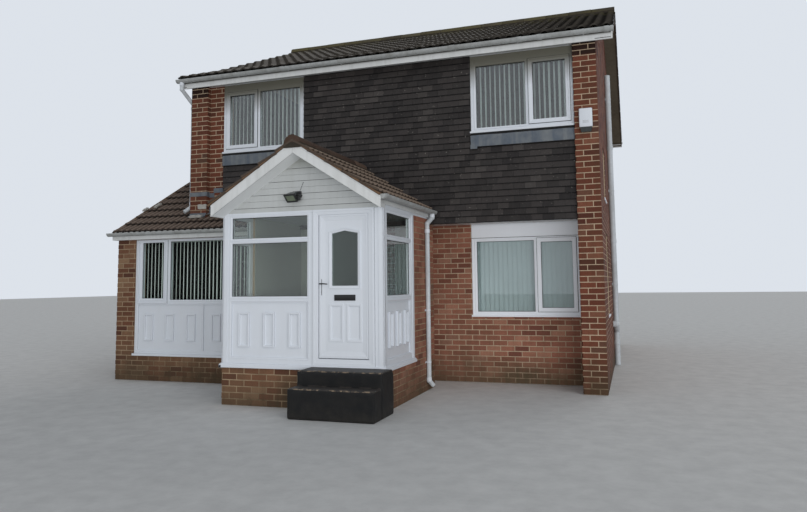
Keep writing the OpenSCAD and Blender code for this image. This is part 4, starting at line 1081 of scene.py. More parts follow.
def slats(name, x0, x1, z0, z1, y, pitch, width, angle, seed):
    # one vane with a bowed face, copied along its rail; each hangs at a slightly different angle
    vane = block(name, (-width / 2, -0.0006, z0), (width / 2, 0.0006, z1 - 0.03))
    pickEdges(vane, lambda first, last: abs(first.x - last.x) > width / 2)
    bpy.ops.mesh.subdivide(number_cuts=3)
    objectMode()
    for point in vane.data.vertices:
        point.co.y += 0.006 * (1 - (2 * point.co.x / width) ** 2)
    perVane = len(vane.data.vertices)
    count = int((x1 - x0) / pitch + 0.5)
    rowOf(vane, count, (pitch, 0, 0))
    dice = random.Random(seed)
    points = vane.data.vertices
    for index, first in enumerate(range(0, len(points), perVane)):
        middle = Vector((index * pitch, 0, 0))
        spin = Matrix.Rotation(math.radians(angle + dice.uniform(-4, 4)), 3, "Z")
        for point in points[first:first + perVane]:
            point.co = middle + spin @ (point.co - middle)
    shift(vane, ((x0 + x1) / 2 - pitch * (count - 1) / 2, y, 0))
    smooth(vane, 40)
    rail = block("rail", (x0, y - 0.025, z1 - 0.03), (x1, y + 0.025, z1), 0.003)
    return joined(name, [vane, rail])


casement = {
    "depth": 0.070,        # depth of the frame of the frame's own nodes
    "glass": 0.024,
    "frameFace": 0.085,
    "sashFace": 0.115,
    "sashGlass": 0.485,
    "mullion": 0.108,
}


def casementLights(width, height, sashFirst, jamb=None):
    size = casement
    jamb = jamb or size["sashFace"]
    face = size["frameFace"]
    foot = face + 0.06
    if sashFirst:
        edge = jamb + size["sashGlass"]
        return [("sash", jamb, edge, foot, height - size["sashFace"]),
                ("fixed", edge + size["mullion"], width - face, face, height - face)]
    edge = width - jamb - size["sashGlass"]
    return [("fixed", face, edge - size["mullion"], face, height - face),
            ("sash", edge, width - jamb, foot, height - size["sashFace"])]


def windowTrim(name, width, height, lights, origin, turn):
    # beads, sashes and seals laid over the flat frame of the frame's own node
    size = casement
    white = [ring(name, 0.001, width - 0.001, 0.031, height, 0.022, 0.004, -0.005, 0.0025)]
    dark = []
    glassFront = (size["depth"] - size["glass"]) / 2
    for kind, *light in lights:
        if kind == "sash":
            out = 0.062
            white.append(around(name, light, out, 0.024, 0.004, -0.018, 0.004))
            white.append(around(name, light, out - 0.02, out - 0.019, 0.004, -0.012, 0.003, 0.006))
            dark.append(around(name, light, out + 0.006, 0.007, 0.002, -0.006, 0))
        else:
            white.append(around(name, light, 0.03, 0.03, 0.004, -0.009, 0.003, 0.008))
        dark.append(around(name, light, 0, 0.005, glassFront - 0.001, glassFront - 0.006, 0))
    # the sill's nose, and a dark block under it as its painted shadow
    white.append(block("nose", (-0.012, -0.046, 0.002), (width + 0.012, 0.004, 0.032), 0.006, 2))
    dark.append(block("gap", (0.004, -0.030, -0.020), (width - 0.004, 0.004, 0.004)))
    if name == "ground_front":
        # the joint under the flat panel
        dark.append(block("joint", (0.002, -0.0035, height - 0.001), (width - 0.002, 0.004, height + 0.007)))
    fitted(name + "_trim", white, origin, turn, recessWhitePaintedLight if name == "ground_front" else plasticWhite)
    fitted(name + "_seals", dark, origin, turn, gasketBlack)


upperWindowY = tileY + 0.030
groundWindowY = recessY + 0.030
rearWindowY = rearY - 0.030
sideWindowX = rightX - 0.030
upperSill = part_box("upper_front_windows")[0][2]
upperHeight = soffitZ - upperSill
upperLight = upperHeight - 0.080
upperWidth = 1.55
groundWidth = 1.76
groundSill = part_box("ground_front_window")[0][2]
groundHeight = 1.265
rearWidth = 1.5
rearHeight = 1.0
upperSets = [("upper_left", nibX, upperWindowY, 0, upperWidth, True),
             ("upper_right", rightInX - upperWidth, upperWindowY, 0, upperWidth, False),
             ("rear_upper_right", 1.5 + rearWidth / 2, rearWindowY, 180, rearWidth, False),
             ("rear_upper_left", -1.5 + rearWidth / 2, rearWindowY, 180, rearWidth, True)]
for name, x, y, turn, width, sashFirst in upperSets:
    lights = casementLights(width, upperLight, sashFirst)
    windowTrim(name, width, upperHeight, lights, (x, y, upperSill), turn)
lights = casementLights(groundWidth, groundHeight + 0.03, False, 0.16)
groundCorner = (rightInX - groundWidth, groundWindowY, groundSill)
windowTrim("ground_front", groundWidth, groundHeight, lights, groundCorner, 0)
rearCorner = (1.5 + rearWidth / 2, rearWindowY, 2.295 - rearHeight)
lights = casementLights(rearWidth, rearHeight, False)
windowTrim("rear_ground", rearWidth, rearHeight, lights, rearCorner, 180)
for name, z, height in (("stair", 2.89, 0.87), ("side_ground", 1.0, 1.35)):
    windowTrim(name, 0.7, height, [("fixed", 0.085, 0.615, 0.085, height - 0.085)],
               (sideWindowX, frontY + 1.3, z), 90)

blinds = {
    "upper_left": {"pitch": 0.0770, "width": 0.066, "angle": -49, "behind": 0.13},
    "upper_right": {"pitch": 0.0750, "width": 0.089, "angle": -67, "behind": 0.13},
    "shut": {"pitch": 0.076, "width": 0.089, "angle": 13, "behind": 0.14},
    "extension": {"pitch": 0.0735, "width": 0.043, "angle": -38, "behind": 0.14},
}


def hangBlind(name, kind, x0, x1, z0, z1, origin, turn, seed):
    use = blinds[kind]
    blind = slats(name, x0, x1, z0, z1, use["behind"], use["pitch"], use["width"], use["angle"], seed)
    fitted(name, [blind], origin, turn, shutFabric if kind == "shut" else blindFabric)


for seed, (name, x, y, turn, width, sashFirst) in enumerate(upperSets):
    kind = name if name in blinds else "shut"
    hangBlind(name + "_blind", kind, 0.04, width - 0.04, 0.03, upperHeight - 0.09, (x, y, upperSill),
              turn, seed)
hangBlind("ground_front_blind", "shut", 0.04, groundWidth - 0.04, 0.04, groundHeight - 0.03, groundCorner,
          0, 11)
hangBlind("rear_ground_blind", "shut", 0.04, rearWidth - 0.04, 0.04, rearHeight - 0.03, rearCorner, 180, 12)
print("windows trimmed")

# Extension window: beads, a thick sash, panels with raised mouldings and its blind

extWindow = {
    "left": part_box("extension_window")[0][0],
    "frameY": extY + 0.020,
    "railZ": 1.280,
    "head": 2.380,
    "foot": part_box("extension_window")[0][2],
}


def panelWith(name, x0, x1, z0, z1, y, count, rimWidth, footGap):
    # a flat infill panel with upright mouldings: each is a rim round a slightly raised field
    parts = [block(name, (x0, y, z0), (x1, y + 0.024, z1))]
    pitch = (x1 - x0) / count
    for index in range(count):
        middle = x0 + (index + 0.5) * pitch
        rim = (middle - rimWidth / 2, middle + rimWidth / 2, z0 + footGap, z1 - footGap)
        parts.append(around(name, rim, 0, 0.024, y + 0.002, y - 0.030, 0.007))
        parts.append(around(name, rim, -0.022, 0.014, y + 0.002, y - 0.008, 0.002, 0.008))
    return joined(name, parts)


def extensionWindow():
    use = extWindow
    left = use["left"]
    y = use["frameY"]
    right = porchLeftX
    sashRight = left + 0.568
    railZ = use["railZ"]
    foot = use["foot"]
    head = use["head"]
    lights = [("sash", left + 0.135, sashRight, railZ + 0.095, head - 0.055),
              ("fixed", sashRight + 0.135, right - 0.066, railZ + 0.070, head - 0.045)]
    size = casement
    glassFront = y + (size["depth"] - size["glass"]) / 2
    white = [ring("extension_trim", left + 0.001, right - 0.001, foot + 0.036, head - 0.001, 0.016,
                  y + 0.004, y - 0.004, 0.002)]
    dark = []
    for kind, *light in lights:
        if kind == "sash":
            # its outer rim reaches less far up than sideways
            x0, x1, z0, z1 = light
            out = 0.085
            top = z1 + 0.050
            white.append(ring("sash", x0 - out, x1 + out, z0 - out, top - 0.004, 0.020, y + 0.004,
                              y - 0.020, 0.004))
            white.append(around("sash", light, 0.035, 0.034, y + 0.004, y - 0.013, 0.003, 0.008))
            out += 0.003
            dark.append(ring("seal", x0 - out, x1 + out, z0 - out, top - 0.001, 0.004, y + 0.002,
                             y - 0.0015, 0))
        else:
            white.append(around("bead", light, 0.028, 0.028, y + 0.004, y - 0.009, 0.003, 0.008))
        dark.append(around("seal", light, 0, 0.005, glassFront - 0.001, glassFront - 0.006, 0))
    split = left + 1.355
    panels = []
    for x0, x1, count in ((left + 0.066, split - 0.020, 3), (split + 0.020, right - 0.066, 3)):
        light = (x0, x1, foot + 0.095, railZ - 0.010)
        panels.append(panelWith("extension_panel", *light, y + 0.023, count, 0.175, 0.155))
        white.append(around("bead", light, 0.020, 0.020, y + 0.010, y - 0.006, 0.003, 0.008))
    nose = block("sill", (left - 0.015, extY - 0.028, foot), (right, y + 0.002, foot + 0.036), 0.006, 2)
    white.append(nose)
    piece("extension_window_trim", white, plasticWhite)
    piece("extension_window_seals", dark, gasketBlack)
    piece("extension_window_panels", panels, plasticWhite, stands=("extension_panels",))
    hangBlind("extension_blind", "extension", left + 0.04, right - 0.05, railZ + 0.03, head - 0.02,
              (0, y, 0), 0, 21)


extensionWindow()
print("extension window trimmed")

# Porch: glazing trims on three sides, posts, sill, boards, barge boards and the door

porch = {
    "foot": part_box("porch_frame")[0][2],
    "sillTop": 0.540,
    "head": 2.550,
    "glass": [(1.430, 2.139), (2.205, 2.485)],
    "panel": (0.635, 1.351),
    "depth": 0.070,
    "pane": 0.024,
    "post": 0.078,
}


def porchSide(name, width, x0, x1, panelCount, rimWidth, origin, turn):
    # one glazed side in its own plane: x0 to x1 is the light, and the width is the whole frame's
    use = porch
    glassFront = (use["depth"] - use["pane"]) / 2
    white = []
    dark = []
    for z0, z1 in use["glass"]:
        light = (x0, x1, z0, z1)
        white.append(around("bead", light, 0.026, 0.026, 0.004, -0.010, 0.003, 0.009))
        dark.append(around("seal", light, 0, 0.005, glassFront - 0.001, glassFront - 0.006, 0))
    light = (x0, x1, *use["panel"])
    white.append(around("bead", light, 0.022, 0.022, 0.010, -0.008, 0.003, 0.010))
    white.append(block("rail", (0, -0.006, use["head"] - 0.028), (width, 0.006, use["head"]), 0.002))
    panel = panelWith(name + "_panel", *light, 0.023, panelCount, rimWidth, 0.130)
    fitted(name + "_trim", white, origin, turn, plasticWhite)
    fitted(name + "_seals", dark, origin, turn, gasketBlack)
    fitted(name + "_panel", [panel], origin, turn, plasticWhite, stands=("porch_panels",))


leafX0 = -0.032
leafX1 = leafX0 + 0.720
leafFoot = 0.641
leafTop = leafFoot + 1.860
leafY = porchY + 0.028
porchSide("porch_front", leafX0 - 0.073 - porchLeftX, 0.134, 1.262, 3, 0.168, (porchLeftX, porchY, 0), 0)
porchSide("porch_right", 1.180, 0.100, 1.030, 3, 0.150, (porchRightX, porchY, 0), 90)
porchSide("porch_left", 0.640, 0.070, 0.540, 2, 0.130, (porchLeftX, porchY + 0.640, 0), -90)


def porchFrameTrim():
    use = porch
    foot = use["sillTop"]
    head = use["head"]
    out = 0.009
    side = use["post"]
    parts = []
    for x0, x1, y0, y1 in ((porchLeftX - out, porchLeftX + side, porchY - out, porchY + 0.02),
                           (porchLeftX - out, porchLeftX + 0.02, porchY - out, porchY + side),
                           (porchRightX - side, porchRightX + out, porchY - out, porchY + 0.02),
                           (porchRightX - 0.02, porchRightX + out, porchY - out, porchY + side),
                           (porchRightX - 0.02, porchRightX + out, porchY + 1.108, porchY + 1.184),
                           (porchLeftX - out, porchLeftX + 0.02, porchY + 0.585, porchY + 0.644)):
        parts.append(block("post", (x0, y0, foot), (x1, y1, head), 0.004, 2))
    # the door's outer frame, with its lip
    parts.append(ring("door_frame", leafX0 - 0.068, leafX1 + 0.068, leafFoot - 0.090, leafTop + 0.048, 0.030,
                      porchY + 0.004, porchY - 0.014, 0.004))
    parts.append(ring("door_frame", leafX0 - 0.042, leafX1 + 0.042, leafFoot - 0.064, leafTop + 0.030, 0.052,
                      porchY + 0.006, porchY - 0.008, 0.003, 0.006))
    # the sill's nose on three sides, and its sloping step under the frame
    sill = use["foot"] - 0.004
    for out, low, high, bevel, rightEnd, leftEnd in ((0.038, sill, foot - 0.012, 0.008, 1.2, 0.66),
                                                     (0.022, foot - 0.02, foot + 0.012, 0.010, 1.18, 0.64)):
        left = porchLeftX - out
        right = porchRightX + out
        start = porchY - (out if low == sill else 0)
        inn = 0.01
        for corner, end in (((left, porchY - out), (right, porchY + inn)),
                            ((porchRightX - inn, start), (right, porchY + rightEnd)),
                            ((left, start), (porchLeftX + inn, porchY + leftEnd))):
            parts.append(block("sill", (*corner, low), (*end, high), bevel, 2))
    piece("porch_frame_trim", parts, plasticWhite)
    seam = [block("seam", (leafX0 - 0.0745, porchY - 0.0012, foot), (leafX0 - 0.0715, porchY + 0.002, head)),
            block("seam", (leafX1 + 0.0725, porchY - 0.0012, foot), (leafX1 + 0.0750, porchY + 0.002, head))]
    piece("porch_frame_seams", seam, gasketBlack)


porchFrameTrim()


def archRing(name, x0, x1, z0, z1, rise, width, back, front, soften, slope):
    # a ring whose head rises to a point in the middle
    obj = block(name, (x0, front, z0), (x1, back, z1))
    middle = (z0 + z1) / 2
    pickEdges(obj, lambda first, last: abs(first.x - last.x) > 0.01 and min(first.z, last.z) > middle)
    bpy.ops.mesh.subdivide(number_cuts=1, ngon=True)
    objectMode()
    for point in obj.data.vertices:
        if abs(point.co.x - (x0 + x1) / 2) < 0.001:
            point.co.z += rise
    hollowOut(obj, width)
    for point in obj.data.vertices:
        inner = x0 + width / 2 < point.co.x < x1 - width / 2 and z0 + width / 2 < point.co.z
        if inner and point.co.z < z1 + rise - width / 2 and point.co.y < front + 0.0001:
            point.co.y += slope
    roundEdges(obj, soften, 2, 25)
    return obj


door = {
    "glass": (0.160, 0.522, 1.559, 2.231, 0.042),
    "panels": ((0.132, 0.312), (0.377, 0.566)),
    "panelZ": (0.861, 1.321),
    "plate": (0.198, 0.489, 1.371, 1.446),
    "leverX": 0.012,
    "leverZ": 1.589,
    "lever": 0.105,
}


def doorTrim():
    use = door
    y = leafY
    white = []
    # sash rails and stiles round the flat middle, with a lip at the outer edge
    white.append(ring("sash", leafX0 + 0.018, leafX1 - 0.018, leafFoot + 0.004, leafTop - 0.018, 0.030,
                      y + 0.004, y - 0.016, 0.004))
    white.append(ring("sash", leafX0 + 0.036, leafX1 - 0.036, leafFoot + 0.024, leafTop - 0.036, 0.062,
                      y + 0.004, y - 0.012, 0.003, 0.010))
    x0, x1, z0, z1, rise = use["glass"]
    white.append(archRing("glass_moulding", x0 - 0.034, x1 + 0.034, z0 - 0.034, z1 + 0.030, rise, 0.036,
                          y + 0.004, y - 0.016, 0.004, 0.012))
    for left, right in use["panels"]:
        panel = (left, right, *use["panelZ"])
        white.append(around("panel", panel, 0.012, 0.028, y + 0.012, y - 0.010, 0.005))
        white.append(around("panel", panel, -0.012, 0.016, y + 0.012, y - 0.003, 0.002, 0.006))
    piece("door_trim", white, plasticWhite, "porch_door")
    seal = ring("door_seal", leafX0 + 0.0125, leafX1 - 0.0125, leafFoot + 0.0025, leafTop - 0.0125, 0.004,
                y + 0.002, y - 0.003, 0)
    finishPiece(seal, gasketBlack, "porch_door")


def doorFurniture():
    use = door
    y = leafY
    z = use["leverZ"]
    x = use["leverX"]
    parts = []
    for face, out in ((y, -1), (y + 0.060, 1)):
        near, farther = sorted((face, face + out * 0.010))
        parts.append(block("plate", (x - 0.013, near, z - 0.150), (x + 0.013, farther, z + 0.060), 0.004, 3))
        parts.append(cylinder(0.009, 0.036, (x, face + out * 0.026, z), "Y", 20))
        # the lever: a bar that thins and droops a little towards its tip
        reach = use["lever"]
        lever = block("lever", (x - 0.010, face + out * 0.045 - 0.006, z - 0.009),
                      (x + reach, face + out * 0.045 + 0.006, z + 0.009))
        pickEdges(lever, lambda first, last: abs(first.x - last.x) > reach / 2)
        bpy.ops.mesh.subdivide(number_cuts=5)
        objectMode()
        for point in lever.data.vertices:
            along = max(0.0, (point.co.x - x) / reach)
            point.co.z = z + (point.co.z - z) * (1 - 0.35 * along) - 0.006 * along * along
        roundEdges(lever, 0.004, 3)
        parts.append(lever)
        parts.append(cylinder(0.0055, 0.006, (x, face + out * 0.011, z - 0.105), "Y", 16))
    x0, x1, z0, z1 = use["plate"]
    parts.append(ring("letter_plate", x0, x1, z0, z1, 0.013, y + 0.001, y - 0.014, 0.003))
    parts.append(block("letter_flap", (x0 + 0.012, y - 0.011, z0 + 0.012), (x1 - 0.012, y, z1 - 0.012),
                       0.003, 2))
    whole = joined("door_handles", parts)
    smooth(whole, 30)
    finishPiece(whole, blackMetal, "porch_door", ("door_furniture",))


doorTrim()
doorFurniture()
print("porch glazing and door trimmed")

boarding = {"height": 0.084, "lap": 0.005, "grooves": (0.0040, 0.0016), "first": -0.105}


def gableBoards():
    # double shiplap: each board has two faces, and its foot stands out over the board below
    use = boarding
    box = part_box("porch_gable_boards")
    tall = use["height"]
    faces = []
    for half in (0, 1):
        face = block("porch_boards", (box[0][0] - 0.02, box[0][1] - 0.0068 + use["lap"] / 2 * half, 0),
                     (box[1][0] + 0.02, box[1][1] - 0.006, tall - use["grooves"][1 - half]))
        for point in face.data.vertices:
            if point.co.y < box[0][1] and point.co.z > tall / 2:
                point.co.y += use["lap"] / 2
        ahead = box[0][1] + 0.01
        pickEdges(face, lambda first, last: abs(first.x - last.x) > 1 and max(first.y, last.y) < ahead)
        bpy.ops.mesh.bevel(offset=0.0015, segments=1)
        objectMode()
        rowOf(face, 7, (0, 0, 2 * tall))
        faces.append(shift(face, (0, 0, box[0][2] + use["first"] + tall * half)))
    board = joined("porch_boards", faces)
    boolean(board, copyNode("porch_gable_boards", "cutter", 0.008), "INTERSECT")
    finishPiece(board, boardWhite)


gableBoards()
verge = {
    "tileTop": 0.012,      # below the crown line of the tiles
    "mortar": 0.046,       # depth of the bedding over the undercloak
    "board": 0.214,        # foot of the barge boards below the crown line
    "thick": 0.020,
}


def porchTop(place):
    return porchRidgeZ - abs(place.x - porchMid) * porchSteep


def mainTop(place):
    return ridgeZ - abs(place.y) * tangent(mainPitch)


def extCrown(place):
    return extRidgeZ - abs(place.y - extRidgeY) * tangent(extPitch)


def slopeStrip(name, xs, ys, depths, crown=porchTop):
    # a bar between two depths below a crown line, along one slope
    (x0, x1), (y0, y1) = sorted(xs), sorted(ys)
    strip = block(name, (x0, y0, 0), (x1, y1, 1))
    for point in strip.data.vertices:
        point.co.z = crown(point.co) - depths[0 if point.co.z > 0.5 else 1]
    return strip


def porchVerge():
    use = verge
    y0 = porchY - 0.288
    foot = use["board"]
    bed = use["tileTop"] + use["mortar"]
    board = []
    bedding = []
    cloak = []
    for side, end in enumerate((porchLeftX - 0.020, porchRightX + 0.065)):
        out = 2 * side - 1
        xs = (porchMid + 0.0012 * out, end)
        board.append(slopeStrip("barge", xs, (y0, y0 + use["thick"]), (bed + 0.006, foot)))
        board.append(slopeStrip("upper_trim", xs, (y0 - 0.005, y0 + 0.004), (bed + 0.005, bed + 0.026)))
        # a thin capping along the foot
        board.append(slopeStrip("capping", xs, (y0 - 0.004, y0 + 0.004), (foot - 0.014, foot - 0.002)))
        xs = (porchMid, porchTip[side] + 0.004 * out)
        bedding.append(slopeStrip("bedding", xs, (y0 - 0.016, y0 + 0.120), (use["tileTop"] + 0.020, bed)))
        cloak.append(slopeStrip("cloak", xs, (y0 - 0.014, y0 + 0.120), (bed, bed + 0.007)))
    # box ends and the soffit behind the boards
    under = []
    for end, out in ((porchLeftX - 0.020, -1), (porchRightX + 0.020, 1)):
        x0, x1 = sorted((end, end - out * 0.020))
        crown = porchTop(Vector((end, 0, 0)))
        board.append(block("box_end", (x0, y0 + 0.018, crown - foot + 0.004),
                           (x1, porchY - 0.010, crown - 0.055), 0.002))
        under.append(slopeStrip("soffit", (porchMid, end - out * 0.002), (y0 + 0.018, porchY - 0.002),
                                (foot - 0.020, foot - 0.004)))
    for part in board:
        roundEdges(part, 0.002, 1)
    piece("porch_barge_boards", board, fasciaWhite, stands=("barge_boards",))
    piece("porch_verge_soffits", under, soffitWhite)
    roughen(joined("porch_verge_bedding", bedding), 0.05, 0.004, 3)
    finishPiece(bedding[0], vergeMortar)
    piece("porch_undercloak", cloak, timberBrown)


def roughen(obj, size, depth, seed):
    # cuts the piece finely and moves its points in and out, for mortar and worn concrete
    editMode(obj)
    bpy.ops.mesh.subdivide(number_cuts=3)
    bpy.ops.mesh.subdivide(number_cuts=3)
    objectMode()
    for point in obj.data.vertices:
        place = point.co / size
        offset = noise.noise_vector(place + Vector((seed, seed, seed)))
        point.co += offset * depth
    smooth(obj, 50)
    return obj


porchVerge()


mainVerge = {
    "out": 0.020,          # the boards' faces outside the ends of the roof slopes
    "eaves": 4.154,
    "board": (0.062, 0.200),
    "soffit": (0.176, 0.190),
    "undercloak": (0.054, 0.062),
    "fascia": (5.0197, 5.1697),
}


def mainVerges():
    # timber barge boards on both gables, under the overhanging tiles, with their sloping soffits
    use = mainVerge
    low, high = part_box("front_roof_slope")
    boards = []
    soffits = []
    trim = []
    for edge, out, wall in ((low[0], -1, leftX), (high[0], 1, rightX)):
        face = edge + out * use["out"]
        for end in (-use["eaves"], use["eaves"]):
            boards.append(slopeStrip("barge", (face, edge), (0.0, end), use["board"], mainTop))
            soffits.append(slopeStrip("soffit", (edge, wall), (0.0, end), use["soffit"], mainTop))
            xs = (face - out * 0.060, face + out * 0.006)
            trim.append(slopeStrip("undercloak", xs, (0.0, end), use["undercloak"], mainTop))
            # the fascia's end, which shows past the boards
            x0, x1 = sorted((face - out * 0.021, face + out * 0.002))
            y0, y1 = sorted((end + math.copysign(0.004, end), end * 0.994))
            trim.append(block("fascia_end", (x0, y0, use["fascia"][0]), (x1, y1, use["fascia"][1])))
    for part in boards + soffits:
        roundEdges(part, 0.002, 1)
    piece("main_barge_boards", boards, timberBrown, stands=("barge_boards",))
    piece("main_verge_soffits", soffits, vergeBoard)
    piece("main_undercloaks", trim, vergeWhite)


mainVerges()
print("verges boarded")

# Ridge tiles: half-round, bedded in mortar

ridgeTiles = {"radius": 0.115, "sink": 0.065, "length": 0.450, "joint": 0.006}


def ridgeRun(name, start, length, turn, pitch, material, bedding):
    use = ridgeTiles
    count = max(1, round(length / use["length"]))
    each = length / count
    radius = use["radius"]
    tile = cylinder(radius, each - use["joint"], (each / 2, 0, -use["sink"]), "X", 36)
    steep = tangent(pitch)
    foot = -use["sink"] + 0.012
    trimAt(tile, (0, 0, foot), (0, 0, -1))
    editMode(tile)
    bpy.ops.mesh.bevel(offset=0.004, segments=2, affect="EDGES")
    objectMode()
    cellUv(tile, each, 0.2, 2)
    perTile = len(tile.data.vertices)
    rowOf(tile, count, (each, 0, 0), 1.0)
    unsettle(tile, perTile, 5, 0.002, 0.002, 0.004)
    smooth(tile, 40)
    tile.name = name
    place(tile, start, turn)
    finishPiece(tile, material, stands=("ridge_tiles",))
    bed = cylinder(radius - 0.006, length - 0.01, (length / 2, 0, -use["sink"]), "X")
    trimAt(bed, (0, 0, -use["sink"] - 0.035), (0, 0, -1))
    side = block("side_bed", (0.004, -radius - 0.006, -radius * steep - 0.045),
                 (length - 0.004, radius + 0.006, -0.055))
    bed = joined(name + "_bedding", [bed, side])
    place(bed, start, turn)
    finishPiece(bed, bedding)


ridgeRun("main_ridge", (roofEnds[0] + 0.01, 0, ridgeZ), mainSpan - 0.02, 0, mainPitch, ridgeDark, mossMortar)
ridgeRun("extension_ridge", (extRoof[0][0] + 0.002, extRidgeY, extRidgeZ), leftX - extRoof[0][0] - 0.004, 0,
         extPitch, ridgeBrown, vergeMortar)
ridgeRun("porch_ridge", (porchMid, porchFrontY, porchRidgeZ - 0.028), porchSpan, 90, porchPitch, ridgeBrown,
         mossMortar)
print("ridges laid")

# Lead: dressed sheets over the roof and up the walls, aprons under the upper windows

lead = {
    "wave": 0.0035,
    "apron": (3.644, 3.814),
    "strip": (3.128, 3.200),
    "reach": 0.085,
    "patch": (2.905, 2.985),
    # place, length and half width of the loose mortar on the extension's roof
    "lumps": ((-3.40, -4.075, 0.24, 0.030), (-4.680, -3.68, 0.05, 0.065), (-4.535, -3.53, 0.06, 0.085)),
}


def leadSheet(low, high, seed):
    return roughen(block("sheet", low, high), 0.14, lead["wave"], seed)


def dressedRun(x0, x1, wallY, up, seed):
    # over the tiles ahead of the wall, then up it
    reach = lead["reach"] / cosine(extPitch)
    lying = block("lying", (0, -reach, -0.004), (x1 - x0, 0, 0.004))
    roughen(lying, 0.05, 0.007, seed)
    lying.rotation_euler = (math.radians(extPitch), 0, 0)
    crown = extCrown(Vector((0, wallY, 0)))
    lying.location = (x0, wallY, crown + 0.002)
    settle(lying)
    foot = crown - 0.006
    return [lying, leadSheet((x0, wallY - 0.010, foot), (x1, wallY + 0.001, foot + up), seed + 1)]


def leadWork():
    use = lead
    parts = []
    low, high = use["apron"]
    for left in (nibX, rightInX - upperWidth):
        for start, end in ((left, left + 0.9), (left + 0.88, left + upperWidth)):
            face = tileY - (0.0025 if start > left else 0.0)
            parts.append(leadSheet((start, face - 0.012, low), (end, face - 0.006, high), start))
            parts.append(block("welt", (start, face - 0.015, low - 0.003), (end, tileY - 0.004, low + 0.007),
                               0.002))
    # the return at the foot of the right apron's left end hangs a little lower
    left = rightInX - upperWidth
    parts.append(leadSheet((left - 0.004, tileY - 0.013, low - 0.035),
                           (left + 0.10, tileY - 0.008, low + 0.03), 31))
    parts += dressedRun(leftX, leftInX, frontY, 0.035, 33)
    parts += dressedRun(leftInX, nibX, upperY, 0.12, 35)
    parts += dressedRun(nibX, porchLeftX - 0.1, tileY, 0.12, 37)
    # the sheets round the left pier and the brick strip beside it
    low, high = use["strip"]
    for start, end, seed in (
            ((leftX - 0.002, frontY - 0.010, low), (leftInX + 0.010, frontY - 0.003, high), 39),
            ((leftInX + 0.003, frontY - 0.004, low - 0.01), (leftInX + 0.010, upperY, high), 41),
            ((leftInX, upperY - 0.011, low - 0.02), (leftInX + 0.10, upperY - 0.004, high - 0.015), 43),
            ((leftInX + 0.09, upperY - 0.012, low + 0.06), (nibX, upperY - 0.004, high + 0.065), 45)):
        parts.append(leadSheet(start, end, seed))
    piece("lead_sheets", parts, leadGrey, stands=("lead_flashings",))
    low, high = use["patch"]
    patch = block("patch", (leftX + 0.165, frontY - 0.013, low), (leftInX + 0.004, frontY - 0.002, high))
    pale = [roughen(patch, 0.05, 0.006, 47)]
    for x, y, length, wide in use["lumps"]:
        lump = roughen(block("lump", (0, -wide, -0.006), (length, wide, 0.024)), 0.03, 0.008, x)
        lump.rotation_euler = (math.radians(extPitch), 0, 0)
        lump.location = (x, y, extCrown(Vector((0, y, 0))) + 0.004)
        settle(lump)
        pale.append(lump)
    piece("pale_mortar_patches", pale, paleMortar)


leadWork()


def extensionVerge():
    # mortar bedding and undercloak under the tiles of the extension's gable
    mortar = []
    cloak = []
    left = extRoof[0][0]
    for ys in ((extTipY + 0.03, extRidgeY), (extRidgeY, 2 * extRidgeY - extTipY - 0.03)):
        xs = (left + 0.004, extLeftX + 0.02)
        mortar.append(slopeStrip("verge", xs, ys, (0.030, 0.078), extCrown))
        xs = (left - 0.006, extLeftX + 0.02)
        cloak.append(slopeStrip("verge", xs, ys, (0.078, 0.086), extCrown))
    finishPiece(roughen(joined("extension_verge_bedding", mortar), 0.05, 0.003, 4), vergeMortar)
    piece("extension_undercloaks", cloak, timberBrown)


extensionVerge()

# Gutters and pipes: unions, brackets, sockets and clips on the frame's own runs

rainwater = {
    "gutter": 0.056,
    "union": 0.062,
    "band": 0.0575,
    "out": 0.056,          # the gutters' middle ahead of the fascia
    "drop": 0.048,         # the rim of the lower gutters below the foot of their tiles
    "mainRim": 5.16375,
    "mainY": 4.154,
    "pipe": 0.034,
    "soil": 0.050,
    "frontUnions": (-1.53, 1.36, 2.39, 2.68, 3.62),
    "rearUnions": (-1.9, 0.4, 2.6),
    "brackets": 0.95,      # from one bracket to the next
    "soilCollars": (0.42, 2.35, 4.15),
    "soilClips": (1.52, 3.32, 5.12),
}


def trough(name, radius, width, middle, turn=0):
    # a half-round band that hugs the outside of a gutter whose axis runs along X before the turn
    band = cylinder(radius, width, axis="X", vertices=28)
    boolean(band, cylinder(rainwater["gutter"] - 0.001, width * 2, axis="X", vertices=28))
    trimAt(band, (0, 0, 0.003), (0, 0, 1))
    band.name = name
    return place(band, middle, turn)


def tube(name, middle, radius, height, axis="Z"):
    made = cylinder(radius, height, middle, axis)
    made.name = name
    editMode(made)
    bpy.ops.mesh.bevel(offset=min(0.003, height / 6), segments=1, affect="EDGES")
    objectMode()
    return made


